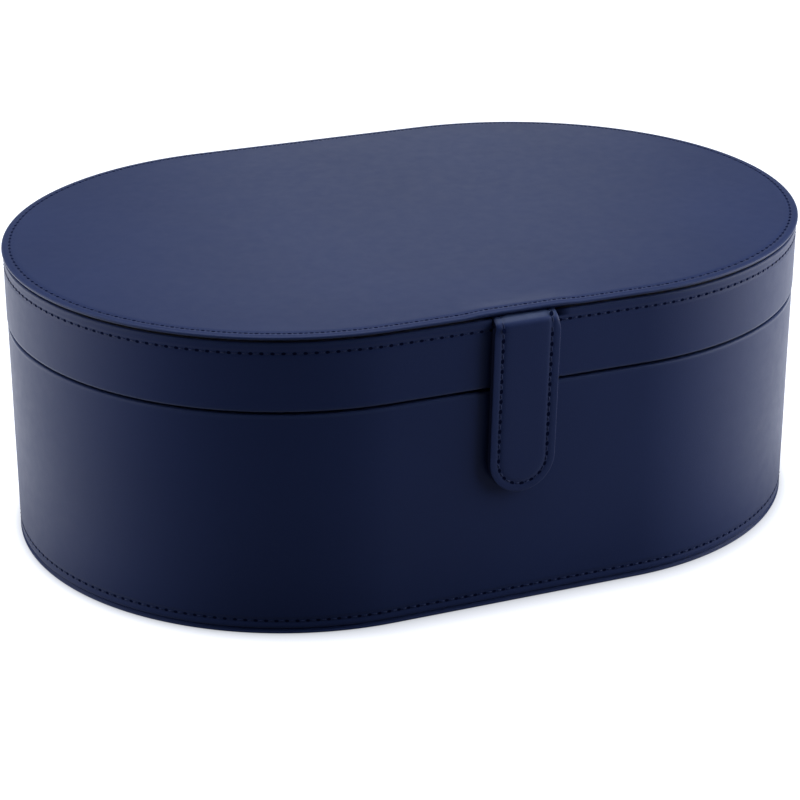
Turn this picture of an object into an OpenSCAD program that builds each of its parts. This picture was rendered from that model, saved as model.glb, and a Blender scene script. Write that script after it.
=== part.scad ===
// Oval jewellery case: a leather covered body with a shoulder collar, a hinged lid with a mirror,
// a magnetic front tab and a lift-out tray. Millimetres, +Z up.
// The origin is the middle of the underside, X runs along the length and the front faces -Y.

/* [Case] */
// Length of the top panel, end to end
case_length = 300; // [285:1:330]
// Width of the top panel, front to back
case_width = 206.5; // [195:0.5:215]
// Height from the underside to the top of the lid
case_height = 111; // [106:1:125]
// Height of the lid, from the line between body and lid up
lid_height = 28; // [24:1:36]
// Gap between the rims of body and lid when shut
seam_gap = 0.6; // [0.4:0.1:0.8]

/* [Walls] */
// How far the top panel reaches past the lid wall
panel_overhang = 0.5; // [0.2:0.1:1.5]
// How far the lid wall stands out past the body wall
lid_proud = 0.7; // [0.3:0.1:1.0]
// Thickness of the wall leather
leather_t = 0.9; // [0.7:0.1:1.2]
// Thickness of the body wall board
body_board_t = 2.7; // [2.2:0.1:3.5]
// Thickness of the velvet lining with its backing
lining_t = 0.8; // [0.5:0.1:1.0]
// Thickness of the collar board inside the body
collar_board_t = 1.8; // [1.2:0.1:2.5]
// Height of the collar above the seam
collar_rise = 5; // [3:0.5:7]
// Thickness of the lining turned over the collar's edge
collar_skin_t = 0.5; // [0.3:0.1:0.6]
// How far the turned lining runs down the outside of the collar
collar_turn_down = 10; // [6:1:15]
// Gap between the collar and the inside of the lid
collar_gap = 0.4; // [0.3:0.05:0.6]

/* [Panels] */
// Thickness of the covered top and base panels
panel_t = 2.4; // [2.2:0.1:3.0]
// Thickness of the leather over a panel
panel_leather_t = 0.8; // [0.6:0.1:1.0]
// Width of the rolled leather edge round a panel's board
panel_edge_w = 1.6; // [1.3:0.1:2.0]
// Thickness of the foam under the top leather
top_foam_t = 0.5; // [0.3:0.1:0.7]
// Thickness of the cushioned floor of the body
floor_pad_t = 4; // [2:0.5:6]

/* [Hinges] */
// Distance from a hinge's middle to the end of the straight back
hinge_end_margin = 16.75; // [15:0.25:20]
// Length of one hinge along the back
hinge_w = 24; // [20:1:26]
// Radius of the hinge barrel
barrel_r = 2.1; // [1.8:0.1:2.4]
// Radius of the hinge pin
pin_r = 0.9; // [0.7:0.1:1.1]
// Running clearance round the pin
pin_clear = 0.05; // [0.02:0.01:0.08]
// Thickness of the hinge leaves
leaf_t = 0.9; // [0.7:0.1:1.0]
// Depth of the body leaf's plate below the seam
body_leaf_drop = 19; // [16:1:24]
// Gap between the top of the lid leaf's plate and the lid's padded lining
lid_leaf_gap = 3.4; // [1:0.2:6]
// Angle at which the stop tails meet
lid_open_angle = 100; // [90:1:110]
// Distance from the pin to the end of a stop tail
tail_reach = 4.4; // [4:0.1:5]

/* [Front tab] */
// Width of the tab
tab_w = 24; // [20:0.5:30]
// Length of the tab from its bend to its tip
tab_length = 60.5; // [50:0.5:65]
// Offset of the tab from the middle of the front
tab_x = -0.9; // [-5:0.1:5]
// Thickness of the tab
tab_t = 3; // [2.6:0.1:3.4]
// Gap between the tab and the lid wall
tab_gap = 0.35; // [0.3:0.05:0.8]
// Thickness of the tab's front leather
tab_front_t = 0.9; // [0.7:0.1:1.0]
// Thickness of the tab's back leather
tab_back_t = 0.8; // [0.6:0.1:0.9]
// Width of the tab's turned edge round the stiffener
tab_edge_w = 2.2; // [1.6:0.1:3]
// Thickness of the strap where it bends over the lid wall
strap_t = 2.4; // [2:0.1:2.6]
// Outer radius of the strap's bend
strap_bend_r = 3.2; // [3:0.1:3.6]
// Gap between the strap and the top panel
strap_gap = 0.4; // [0.2:0.1:0.8]
// Diameter of the magnet in the tab
magnet_d = 12; // [8:0.5:14]
// Diameter of the steel keeper in the body wall
keeper_d = 14; // [10:0.5:16]
// Thickness of magnet and keeper
magnet_t = 1; // [0.8:0.1:1.2]

/* [Lid interior] */
// Thickness of the board that closes the lid from inside
lid_inner_board_t = 2.2; // [1.6:0.1:3]
// Thickness of the padded lining under it
lid_pad_t = 3; // [2:0.5:4]
// Length of the mirror
mirror_length = 190; // [150:1:210]
// Width of the mirror
mirror_width = 110; // [90:1:130]
// Thickness of the mirror glass
mirror_t = 2; // [1.5:0.5:3]
// Width of the frame round the mirror
frame_w = 8; // [6:0.5:12]
// How far the frame laps over the glass
frame_lap = 1.5; // [1:0.1:2.5]
// Thickness of the frame's lap in front of the glass
frame_lip_t = 0.8; // [0.6:0.1:1.2]

/* [Tray] */
// Height of the tray
tray_height = 31.7; // [25:0.1:36]
// Depth of the tray's rim below the seam
tray_rim_drop = 3; // [1:0.5:6]
// Gap between the tray and the collar
tray_gap = 1.6; // [1.3:0.1:2.5]
// Gap under the resting tray
tray_rest_gap = 0.3; // [0.2:0.1:0.5]
// Thickness of the tray's base board
tray_base_t = 2; // [1.5:0.1:3]
// Thickness of the tray's wall board
tray_board_t = 2.4; // [1.8:0.1:3]
// Thickness of the tray's dividers
tray_divider_t = 2.4; // [1.8:0.1:3]
// Depth of the dividers' tops below the tray's rim
tray_divider_drop = 2; // [1:0.5:4]
// Length of the tray's middle bay
tray_bay_length = 124; // [100:1:140]
// Length of the middle compartment at the back of the tray
back_bay_length = 52; // [40:1:60]
// Height of the ring rolls
roll_height = 22; // [18:0.5:24]
// Gap between neighbouring ring rolls
roll_gap = 0.25; // [0.2:0.05:0.5]
// Width of the pull tabs
pull_w = 16; // [12:1:24]
// Thickness of the pull tabs
pull_t = 1; // [0.8:0.1:1.4]
// Height of the pull tabs above the tray's rim
pull_rise = 4; // [2:0.5:5]
// Depth of the pull tabs below the tray's rim
pull_drop = 14; // [10:1:20]

/* [Lower level] */
// Length of the lower level's middle bay
lower_bay_length = 100; // [80:1:120]
// Thickness of the lower dividers
lower_divider_t = 3; // [2:0.5:4]

/* [Hidden] */
$fn = 96;

navy = "#1c2544";
navy_top = "#3a4566";
board_grey = "#8d8a84";
foam_white = "#e9e6df";
velvet = "#b9b2a8";
velvet_deep = "#a39b90";
steel = "#c9ccd0";
brass = "#c8a863";
glass = "#cfd8de";

// Overshoot of a cut past the face it opens.
over = 1;
// Clearance of a loose insert in its pocket or bay.
insert_clear = 0.1;

// Plan: two half circles joined by straights.
outline_r = case_width / 2;
half_straight = (case_length - case_width) / 2;

// Distances in from the top panel's outline.
lid_face = panel_overhang;
lid_board_out = lid_face + leather_t;
body_face = lid_face + lid_proud;
body_board_out = body_face + leather_t;
collar_out = body_board_out + body_board_t;
collar_board_in = collar_out + collar_board_t;
collar_in = collar_board_in + lining_t;
lid_in = collar_out - collar_gap;
lid_board_in = lid_in - lining_t;
tray_out = collar_in + tray_gap;
tray_board_in = tray_out + tray_board_t;
tray_in = tray_board_in + lining_t;

// Heights.
seam_height = case_height - lid_height;
body_rim = seam_height - seam_gap / 2;
lid_rim = seam_height + seam_gap / 2;
collar_top = seam_height + collar_rise;
panel_under = case_height - panel_t;
top_board_top = case_height - panel_leather_t - top_foam_t;
floor_top = panel_t + floor_pad_t;
pad_top = panel_under - lid_inner_board_t;
pad_under = pad_top - lid_pad_t;
mirror_face = pad_under - mirror_t;
tray_top = seam_height - tray_rim_drop;
tray_bottom = tray_top - tray_height;
lower_divider_top = tray_bottom - tray_rest_gap;
lower_joint = (floor_top + lower_divider_top) / 2;
tray_floor = tray_bottom + tray_base_t + lining_t;
tray_divider_top = tray_top - tray_divider_drop;

// Hinges: the pin runs under the top panel's back edge, at the height of the seam.
hinge_x = half_straight - hinge_end_margin;
hinge_y = outline_r;
lid_leaf_rise = pad_under - lid_leaf_gap - seam_height;
knuckle_gap = 0.2;
mid_knuckle_half = hinge_w / 6;
knuckle_clear = 0.4;
leaf_gap = 0.1;
pin_head_t = 0.6;
pin_head_r = 1.5;
pin_end_clear = 0.6;
notch_half_w = hinge_w / 2 + pin_head_t + pin_end_clear;
notch_clear = 0.3;
notch_half_h = barrel_r + notch_clear;
recess_clear = 0.2;
tail_t = 1;
tail_play = 1.5;
tail_half_w = hinge_w / 3;
screw_spread = hinge_w * 0.3;
screw_head_r = 1.5;
screw_head_t = 0.8;
screw_r = 0.75;
screw_bite = 1.6;
screw_clear = 0.05;
body_plate_y = outline_r - collar_in;
lid_plate_y = outline_r - lid_in;
body_screw_z = seam_height - body_leaf_drop * 0.65;
lid_screw_z = seam_height + lid_leaf_rise * 0.65;
body_screw_length = leaf_t + lining_t + collar_board_t + screw_bite;
lid_screw_length = leaf_t + lining_t + screw_bite;

// Front tab: its back face runs along the lid wall, its front face is further out.
tab_back_y = -(outline_r - lid_face) - tab_gap;
tab_front_y = tab_back_y - tab_t;
strap_centre_y = tab_front_y + strap_bend_r;
strap_centre_z = panel_under - strap_gap - strap_bend_r;
tab_hang_gap = 0.15;
tab_top = strap_centre_z - tab_hang_gap;
tab_round_z = strap_centre_z - tab_length + tab_w / 2;
strap_notch_w = tab_w + 2 * recess_clear;
magnet_y = tab_back_y - tab_back_t;
keeper_y = -(outline_r - body_board_out);

// Tray bays: seven ring rolls fill the front half of the middle bay.
roll_count = 7;
roll_field = sqrt(pow(outline_r - tray_in, 2) - pow(max(tray_bay_length / 2 - half_straight, 0), 2))
    - tray_divider_t / 2 - 2 * insert_clear;
roll_pitch = roll_field / roll_count;
roll_w = roll_pitch - roll_gap;
tray_divider_x = (tray_bay_length + tray_divider_t) / 2;
back_divider_x = (back_bay_length + tray_divider_t) / 2;
lower_divider_x = (lower_bay_length + lower_divider_t) / 2;

// --- Shapes that repeat ---

// Sweeps a profile round the plan. In the profile, X is the distance from the plan's centre line
// and Y is the height.
module swept(half = half_straight) {
    for (side = [-1, 1]) {
        translate([side * half, 0, 0])
            rotate(-side * 90)
                rotate_extrude(angle = 180)
                    children();
        mirror([0, side < 0 ? 1 : 0, 0])
            translate([-half, 0, 0])
                rotate([90, 0, 90])
                    linear_extrude(height = 2 * half)
                        children();
    }
}

// A wall round the plan, from one inset to the next and from z0 to z1.
module ring(outer, inner, z0, z1) {
    swept()
        translate([outline_r - inner, z0])
            square([inner - outer, z1 - z0]);
}

// A flat plate that fills the plan at an inset.
module plate(inset, z0, z1) {
    swept()
        translate([0, z0])
            square([outline_r - inset, z1 - z0]);
}

// A covered panel's outside: a plate with a fully rolled edge.
module rolled_panel(z0) {
    swept() {
        translate([0, z0])
            square([outline_r - panel_t / 2, panel_t]);
        translate([outline_r - panel_t / 2, z0 + panel_t / 2])
            circle(d = panel_t);
    }
}

// A bar between two x values and two y values, cut to the plan at an inset.
module fitted_bar(x0, x1, y0, y1, z0, z1, inset) {
    intersection() {
        translate([x0, y0, z0])
            cube([x1 - x0, y1 - y0, z1 - z0]);
        plate(inset, z0 - over, z1 + over);
    }
}

// A cylinder along +Y from y0.
module rod_y(x, y0, z, r, length) {
    translate([x, y0, z])
        rotate([-90, 0, 0])
            cylinder(r = r, h = length);
}

// A cylinder along +X between two x values, on the hinge line.
module hinge_rod(x0, x1, r) {
    translate([x0, hinge_y, seam_height])
        rotate([0, 90, 0])
            cylinder(r = r, h = x1 - x0);
}

// A countersunk screw, or with a clearance the hole for it, entering at y and running to +Y.
module screw_form(x, y, z, length, clear = 0) {
    translate([x, y, z])
        rotate([-90, 0, 0]) {
            cylinder(r1 = screw_head_r + clear, r2 = screw_r + clear, h = screw_head_t);
            cylinder(r = screw_r + clear, h = length + clear);
        }
}

module body_screw_forms(clear = 0) {
    for (side = [-1, 1], end = [-1, 1])
        screw_form(side * hinge_x + end * screw_spread, body_plate_y - leaf_t,
            body_screw_z, body_screw_length, clear);
}

module lid_screw_forms(clear = 0) {
    for (side = [-1, 1], end = [-1, 1])
        screw_form(side * hinge_x + end * screw_spread, lid_plate_y - leaf_t,
            lid_screw_z, lid_screw_length, clear);
}

// Cuts for the barrels through the back walls.
module barrel_notches() {
    for (side = [-1, 1])
        translate([side * hinge_x - notch_half_w, hinge_y - barrel_r - knuckle_clear, seam_height - notch_half_h])
            cube([2 * notch_half_w, outline_r, 2 * notch_half_h]);
}

// Cuts through a rim for the hinge leaves, between two heights and from a depth outwards.
module leaf_notches(y0, z0, z1, half_w) {
    for (side = [-1, 1])
        translate([side * hinge_x - half_w, y0, z0])
            cube([2 * half_w, outline_r - y0 + over, z1 - z0]);
}

// --- Body ---

module base_leather() {
    color(navy)
        difference() {
            rolled_panel(0);
            plate(panel_edge_w, panel_leather_t, panel_t + over);
        }
}

module base_board() {
    color(board_grey)
        plate(panel_edge_w, panel_leather_t, panel_t);
}

module body_wall_leather() {
    color(navy)
        difference() {
            union() {
                ring(body_face, body_board_out, panel_t, body_rim);
                ring(body_board_out, collar_out, body_rim - leather_t, body_rim);
            }
            barrel_notches();
            leaf_notches(0, seam_height - leaf_gap - leaf_t - recess_clear / 2, seam_height + over,
                hinge_w / 2 + recess_clear);
        }
}

module body_wall_board() {
    color(board_grey)
        difference() {
            ring(body_board_out, collar_out, panel_t, body_rim - leather_t);
            barrel_notches();
            leaf_notches(0, seam_height - leaf_gap - leaf_t - recess_clear / 2, seam_height + over,
                hinge_w / 2 + recess_clear);
            body_screw_forms(screw_clear);
            rod_y(tab_x, keeper_y - over, tab_round_z, keeper_d / 2 + insert_clear,
                magnet_t + insert_clear + over);
        }
}

module collar_cuts() {
    leaf_notches(0, seam_height - leaf_gap - leaf_t - recess_clear / 2, collar_top + over, notch_half_w);
    body_screw_forms(screw_clear);
}

module collar_board() {
    color(board_grey)
        difference() {
            ring(collar_out, collar_board_in, panel_t, collar_top - collar_skin_t);
            ring(collar_out - over, collar_out + collar_skin_t,
                collar_top - collar_turn_down, collar_top);
            collar_cuts();
        }
}

module collar_lining() {
    color(velvet)
        difference() {
            union() {
                ring(collar_board_in, collar_in, panel_t, collar_top);
                ring(collar_out, collar_board_in, collar_top - collar_skin_t, collar_top);
                ring(collar_out, collar_out + collar_skin_t,
                    collar_top - collar_turn_down, collar_top);
            }
            collar_cuts();
        }
}

module floor_pad() {
    color(velvet)
        plate(collar_in + insert_clear, panel_t, floor_top);
}

module lower_divider_long() {
    color(velvet_deep)
        difference() {
            fitted_bar(-case_length / 2, case_length / 2, -lower_divider_t / 2, lower_divider_t / 2,
                floor_top, lower_divider_top, collar_in + insert_clear);
            for (side = [-1, 1])
                translate([side * lower_divider_x - lower_divider_t / 2 - insert_clear,
                    -lower_divider_t, lower_joint])
                    cube([lower_divider_t + 2 * insert_clear, 2 * lower_divider_t, case_height]);
        }
}

module lower_divider_cross(side) {
    color(velvet_deep)
        difference() {
            fitted_bar(side * lower_divider_x - lower_divider_t / 2,
                side * lower_divider_x + lower_divider_t / 2,
                -outline_r, outline_r, floor_top, lower_divider_top, collar_in + insert_clear);
            translate([side * lower_divider_x - lower_divider_t,
                -lower_divider_t / 2 - insert_clear, 0])
                cube([2 * lower_divider_t, lower_divider_t + 2 * insert_clear, lower_joint]);
        }
}

module keeper_plate() {
    color(steel)
        rod_y(tab_x, keeper_y, tab_round_z, keeper_d / 2, magnet_t);
}

// --- Hinges ---

// Body leaf: two outer knuckles, an arm over the rim, a plate down the inside and two stop tails.
module body_hinge_leaf(side) {
    x0 = side * hinge_x;
    arm_z = seam_height - leaf_gap - leaf_t;
    finger_w = hinge_w / 2 - mid_knuckle_half - knuckle_gap / 2;
    tail_angle = -lid_open_angle / 2;
    color(brass)
        difference() {
            union() {
                for (end = [-1, 1]) {
                    finger_x = x0 + (end < 0 ? -hinge_w / 2 : hinge_w / 2 - finger_w);
                    hinge_rod(finger_x, finger_x + finger_w, barrel_r);
                    translate([finger_x, hinge_y - barrel_r - 2 * knuckle_clear, arm_z])
                        cube([finger_w, barrel_r + 2 * knuckle_clear, leaf_t]);
                    translate([finger_x, hinge_y, seam_height])
                        rotate([tail_angle, 0, 0])
                            translate([0, pin_r + pin_clear, -tail_t])
                                cube([finger_w, tail_reach - pin_r - pin_clear, tail_t]);
                }
                translate([x0 - hinge_w / 2, body_plate_y - leaf_t, arm_z])
                    cube([hinge_w, hinge_y - barrel_r - knuckle_clear - body_plate_y + leaf_t, leaf_t]);
                translate([x0 - hinge_w / 2, body_plate_y - leaf_t, seam_height - body_leaf_drop])
                    cube([hinge_w, leaf_t, body_leaf_drop - leaf_gap]);
            }
            hinge_rod(x0 - hinge_w, x0 + hinge_w, pin_r + pin_clear);
            body_screw_forms(screw_clear);
        }
}

// Lid leaf: the middle knuckle, an arm under the lid's rim, a plate up the inside and a stop tail.
module lid_hinge_leaf(side) {
    x0 = side * hinge_x;
    arm_z = seam_height + leaf_gap;
    finger_half = mid_knuckle_half - knuckle_gap / 2;
    tail_angle = lid_open_angle / 2 + tail_play;
    color(brass)
        difference() {
            union() {
                hinge_rod(x0 - finger_half, x0 + finger_half, barrel_r);
                translate([x0 - finger_half, hinge_y - barrel_r - 2 * knuckle_clear, arm_z])
                    cube([2 * finger_half, barrel_r + 2 * knuckle_clear, leaf_t]);
                translate([x0, hinge_y, seam_height])
                    rotate([tail_angle, 0, 0]) {
                        translate([-finger_half, pin_r + pin_clear, 0])
                            cube([2 * finger_half, tail_reach - pin_r - pin_clear, tail_t]);
                        translate([-tail_half_w, barrel_r + knuckle_clear, 0])
                            cube([2 * tail_half_w, tail_reach - barrel_r - knuckle_clear, tail_t]);
                    }
                translate([x0 - hinge_w / 2, lid_plate_y - leaf_t, arm_z])
                    cube([hinge_w, hinge_y - barrel_r - knuckle_clear - lid_plate_y + leaf_t, leaf_t]);
                translate([x0 - hinge_w / 2, lid_plate_y - leaf_t, arm_z])
                    cube([hinge_w, leaf_t, lid_leaf_rise - leaf_gap]);
            }
            hinge_rod(x0 - hinge_w, x0 + hinge_w, pin_r + pin_clear);
            lid_screw_forms(screw_clear);
        }
}

module hinge_pin(side) {
    x0 = side * hinge_x;
    end_x = hinge_w / 2 + knuckle_gap / 4;
    color(steel) {
        hinge_rod(x0 - end_x, x0 + end_x, pin_r);
        hinge_rod(x0 - end_x - pin_head_t, x0 - end_x, pin_head_r);
        hinge_rod(x0 + end_x, x0 + end_x + pin_head_t, pin_head_r);
    }
}

module body_hinge_screws() {
    color(steel)
        body_screw_forms();
}

module lid_hinge_screws() {
    color(steel)
        lid_screw_forms();
}

// --- Lid ---

// Cut through the top of the lid wall for the tab's strap.
module strap_notch() {
    translate([tab_x - strap_notch_w / 2, -outline_r - over,
        strap_centre_z + strap_bend_r - strap_t - recess_clear])
        cube([strap_notch_w, lid_in + over + recess_clear, case_height]);
}

module top_leather() {
    color(navy_top)
        difference() {
            rolled_panel(panel_under);
            plate(panel_edge_w, panel_under - over, case_height - panel_leather_t);
        }
}

module top_foam() {
    color(foam_white)
        plate(panel_edge_w, top_board_top, case_height - panel_leather_t);
}

module top_board() {
    color(board_grey)
        plate(panel_edge_w, panel_under, top_board_top);
}

module lid_wall_leather() {
    color(navy)
        difference() {
            union() {
                ring(lid_face, lid_board_out, lid_rim, panel_under);
                ring(lid_board_out, lid_board_in, lid_rim, lid_rim + leather_t);
                ring(lid_board_out, lid_board_in, panel_under - leather_t, panel_under);
            }
            barrel_notches();
            leaf_notches(0, seam_height - over, seam_height + leaf_gap + leaf_t + recess_clear / 2,
                hinge_w / 2 + recess_clear);
            strap_notch();
        }
}

module lid_wall_board() {
    color(board_grey)
        difference() {
            ring(lid_board_out, lid_board_in, lid_rim + leather_t, panel_under - leather_t);
            barrel_notches();
            lid_screw_forms(screw_clear);
            strap_notch();
        }
}

module lid_lining() {
    color(velvet)
        difference() {
            ring(lid_board_in, lid_in, lid_rim, panel_under);
            leaf_notches(0, seam_height - over, seam_height + leaf_gap + leaf_t + recess_clear / 2,
                hinge_w / 2 + recess_clear);
            lid_screw_forms(screw_clear);
            strap_notch();
        }
}

module lid_inner_board() {
    color(board_grey)
        plate(lid_in + recess_clear, pad_top, panel_under);
}

module lid_pad() {
    color(velvet)
        plate(lid_in + recess_clear, pad_under, pad_top);
}

// Plan radius of the mirror, grown or shrunk by an amount.
function mirror_r(grow) = mirror_width / 2 + grow;
mirror_half_straight = (mirror_length - mirror_width) / 2;

module mirror_glass() {
    color(glass)
        swept(mirror_half_straight)
            translate([0, mirror_face])
                square([mirror_r(0), mirror_t]);
}

module mirror_frame() {
    color(navy)
        swept(mirror_half_straight) {
            translate([mirror_r(insert_clear), mirror_face - frame_lip_t])
                square([frame_w - insert_clear, mirror_t + frame_lip_t]);
            translate([mirror_r(-frame_lap), mirror_face - frame_lip_t])
                square([frame_lap + insert_clear, frame_lip_t]);
        }
}

// The strap's root: a flat run through the top of the lid wall, then a quarter bend downwards.
module tab_strap_root() {
    color(navy)
        translate([tab_x - tab_w / 2, 0, 0])
            rotate([90, 0, 90])
                linear_extrude(height = tab_w) {
                    translate([strap_centre_y, strap_centre_z + strap_bend_r - strap_t])
                        square([-outline_r + lid_in - strap_centre_y, strap_t]);
                    translate([strap_centre_y, strap_centre_z])
                        intersection() {
                            difference() {
                                circle(r = strap_bend_r);
                                circle(r = strap_bend_r - strap_t);
                            }
                            translate([-strap_bend_r, 0])
                                square(strap_bend_r);
                        }
                }
}

// --- Front tab ---

// The tab's outline at an inset, from y0 outwards.
module tab_form(inset, y0, thickness) {
    r = tab_w / 2 - inset;
    rod_y(tab_x, y0 - thickness, tab_round_z, r, thickness);
    translate([tab_x - r, y0 - thickness, tab_round_z])
        cube([2 * r, thickness, tab_top - inset - tab_round_z]);
}

module tab_front_leather() {
    color(navy)
        difference() {
            tab_form(0, tab_back_y - tab_back_t, tab_t - tab_back_t);
            tab_form(tab_edge_w, tab_back_y - tab_back_t + over,
                tab_t - tab_back_t - tab_front_t + over);
        }
}

module tab_back_leather() {
    color(navy)
        tab_form(0, tab_back_y, tab_back_t);
}

module tab_stiffener() {
    color(board_grey)
        difference() {
            tab_form(tab_edge_w, tab_back_y - tab_back_t, tab_t - tab_back_t - tab_front_t);
            rod_y(tab_x, magnet_y - magnet_t, tab_round_z, magnet_d / 2, magnet_t + over);
        }
}

module tab_magnet() {
    color(steel)
        rod_y(tab_x, magnet_y - magnet_t, tab_round_z, magnet_d / 2, magnet_t);
}

// --- Tray ---

module tray_base_board() {
    color(board_grey)
        plate(tray_out, tray_bottom, tray_bottom + tray_base_t);
}

module tray_wall_board() {
    color(velvet_deep)
        ring(tray_out, tray_board_in, tray_bottom + tray_base_t, tray_top - lining_t);
}

module tray_lining() {
    color(velvet) {
        plate(tray_board_in, tray_bottom + tray_base_t, tray_floor);
        ring(tray_board_in, tray_in, tray_floor, tray_top);
        ring(tray_out, tray_board_in, tray_top - lining_t, tray_top);
    }
}

module tray_bar(x0, x1, y0, y1) {
    color(velvet_deep)
        fitted_bar(x0, x1, y0, y1, tray_floor, tray_divider_top, tray_in + insert_clear);
}

// The full-depth divider at one end of the middle bay.
module tray_divider_side(side) {
    tray_bar(side * tray_divider_x - tray_divider_t / 2, side * tray_divider_x + tray_divider_t / 2,
        -outline_r, outline_r);
}

// The divider between the ring rolls and the back bays.
module tray_divider_middle() {
    tray_bar(-tray_bay_length / 2, tray_bay_length / 2, -tray_divider_t / 2, tray_divider_t / 2);
}

// A divider along the middle of an end bay, cut back for the pull tab.
module tray_divider_end(side) {
    near = tray_divider_x + tray_divider_t / 2;
    far = case_length / 2;
    difference() {
        tray_bar(side < 0 ? -far : near, side < 0 ? -near : far, -tray_divider_t / 2, tray_divider_t / 2);
        pull_strip(side, insert_clear);
    }
}

module tray_divider_back(side) {
    tray_bar(side * back_divider_x - tray_divider_t / 2, side * back_divider_x + tray_divider_t / 2,
        tray_divider_t / 2, outline_r);
}

// Ring rolls lie side by side, counted from the middle divider to the front.
module ring_roll(index) {
    color(velvet)
        translate([-tray_bay_length / 2 + insert_clear,
            -tray_divider_t / 2 - insert_clear - (index - 0.5) * roll_pitch, tray_floor])
            rotate([90, 0, 90])
                linear_extrude(height = tray_bay_length - 2 * insert_clear) {
                    translate([-roll_w / 2, 0])
                        square([roll_w, roll_height - roll_w / 2]);
                    translate([0, roll_height - roll_w / 2])
                        circle(d = roll_w);
                }
}

// A ribbon on the inside of the tray's round end, or with a clearance the cut for it.
module pull_strip(side, clear = 0) {
    pull_r = outline_r - tray_in;
    pull_angle = 2 * asin((pull_w / 2 + clear) / pull_r);
    translate([side * half_straight, 0, 0])
        rotate((side < 0 ? 180 : 0) - pull_angle / 2)
            rotate_extrude(angle = pull_angle)
                translate([pull_r - pull_t - clear, tray_top - pull_drop - clear])
                    square([pull_t + 2 * clear, pull_drop + pull_rise + 2 * clear]);
}

module tray_pull(side) {
    color(navy)
        pull_strip(side);
}

base_leather();
base_board();
body_wall_leather();
body_wall_board();
collar_board();
collar_lining();
floor_pad();
lower_divider_long();
lower_divider_cross(-1);  // lower_divider_left
lower_divider_cross(1);  // lower_divider_right
keeper_plate();
body_hinge_leaf(-1);  // body_hinge_leaf_left
body_hinge_leaf(1);  // body_hinge_leaf_right
hinge_pin(-1);  // hinge_pin_left
hinge_pin(1);  // hinge_pin_right
body_hinge_screws();
top_leather();
top_foam();
top_board();
lid_wall_leather();
lid_wall_board();
lid_lining();
lid_inner_board();
lid_pad();
mirror_glass();
mirror_frame();
lid_hinge_leaf(-1);  // lid_hinge_leaf_left
lid_hinge_leaf(1);  // lid_hinge_leaf_right
lid_hinge_screws();
tab_strap_root();
tab_front_leather();
tab_back_leather();
tab_stiffener();
tab_magnet();
tray_base_board();
tray_wall_board();
tray_lining();
tray_divider_side(-1);  // tray_divider_left
tray_divider_side(1);  // tray_divider_right
tray_divider_middle();
tray_divider_end(-1);  // tray_divider_end_left
tray_divider_end(1);  // tray_divider_end_right
tray_divider_back(-1);  // tray_divider_back_left
tray_divider_back(1);  // tray_divider_back_right
for (index = [1:roll_count])
    ring_roll(index);
tray_pull(-1);  // tray_pull_left
tray_pull(1);  // tray_pull_right
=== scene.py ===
"""An oval jewellery case in navy leather: coverings, linings, padding, stitching and hardware.

Sizes are millimetres, and MM turns them to the scene's metres. The case's plan is two half circles
joined by straights, and an inset is the distance in from the top panel's outline.
"""
import math

import bmesh
import bpy
from mathutils import Matrix, Vector, noise


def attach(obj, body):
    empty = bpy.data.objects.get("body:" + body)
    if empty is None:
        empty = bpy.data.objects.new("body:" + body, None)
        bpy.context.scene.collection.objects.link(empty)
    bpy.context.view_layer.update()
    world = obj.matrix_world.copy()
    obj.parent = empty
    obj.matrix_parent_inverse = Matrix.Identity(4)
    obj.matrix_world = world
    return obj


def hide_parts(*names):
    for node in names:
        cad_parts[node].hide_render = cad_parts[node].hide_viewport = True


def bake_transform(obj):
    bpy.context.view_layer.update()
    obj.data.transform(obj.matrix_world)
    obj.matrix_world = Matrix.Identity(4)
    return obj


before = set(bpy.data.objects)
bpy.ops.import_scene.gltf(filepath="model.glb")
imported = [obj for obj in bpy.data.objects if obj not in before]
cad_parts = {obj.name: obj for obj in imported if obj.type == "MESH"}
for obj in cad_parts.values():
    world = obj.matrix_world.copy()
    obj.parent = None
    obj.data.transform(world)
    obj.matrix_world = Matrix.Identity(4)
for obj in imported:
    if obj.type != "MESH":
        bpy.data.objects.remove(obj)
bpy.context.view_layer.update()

MM = 0.001

# Plan of the case.
PLAN_R = 103.25
HALF_STRAIGHT = 46.75

# Insets of the faces that the pieces share with the frame.
LID_FACE = 0.5
LID_LEATHER_BACK = 1.4
LID_BOARD_BACK = 3.6
LID_LINING_FACE = 4.4
LID_PAD_EDGE = 4.6
BODY_FACE = 0.7
BODY_LEATHER_BACK = 2.1
BODY_BOARD_BACK = 4.8
COLLAR_BOARD_OUT = 5.3
COLLAR_BOARD_IN = 6.6
COLLAR_FACE = 7.4
FLOOR_PAD_EDGE = 7.5
TRAY_OUTSIDE = 9.0
TRAY_BOARD_BACK = 11.4
TRAY_FACE = 12.2

# Heights above the ground.
BASE_TOP = 2.4
FLOOR_TOP = 6.4
TRAY_BOARD_TOP = 50.3
TRAY_FLOOR = 51.1
TRAY_WALL_TOP = 79.2
TRAY_TOP = 80.0
BODY_LIP = 81.8
BODY_RIM = 82.0
LID_RIM = 83.15
LID_LIP = 84.2
COLLAR_TOP = 88.0
LID_PAD_FACE = 103.4
LID_BOARD_UNDER = 106.4
LID_WALL_TOP = 107.8
PANEL_UNDER = 108.6
TOP_FOAM_UNDER = 109.7
PANEL_FACE_LOW = 110.3
CASE_TOP = 111.0

# The covered panels: thickness, depth of the margin and of the leather's back, and the edge's fold.
PANEL_THICK = 2.4
MARGIN_DEPTH = 0.47
PANEL_LEATHER = 0.8
FOLD_OUT = 0.05
FOLD_IN = 1.45

# The walls' slow ripple, and the butt seam of their leather at the middle of the back.
RIPPLE_LENGTH = 30.0
SEAM_STEPS = (-0.45, -0.15, 0.15, 0.45)
SEAM_HALF = 0.2
SEAM_DEPTH = 0.2
SEAM_SKIN = 3

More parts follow.
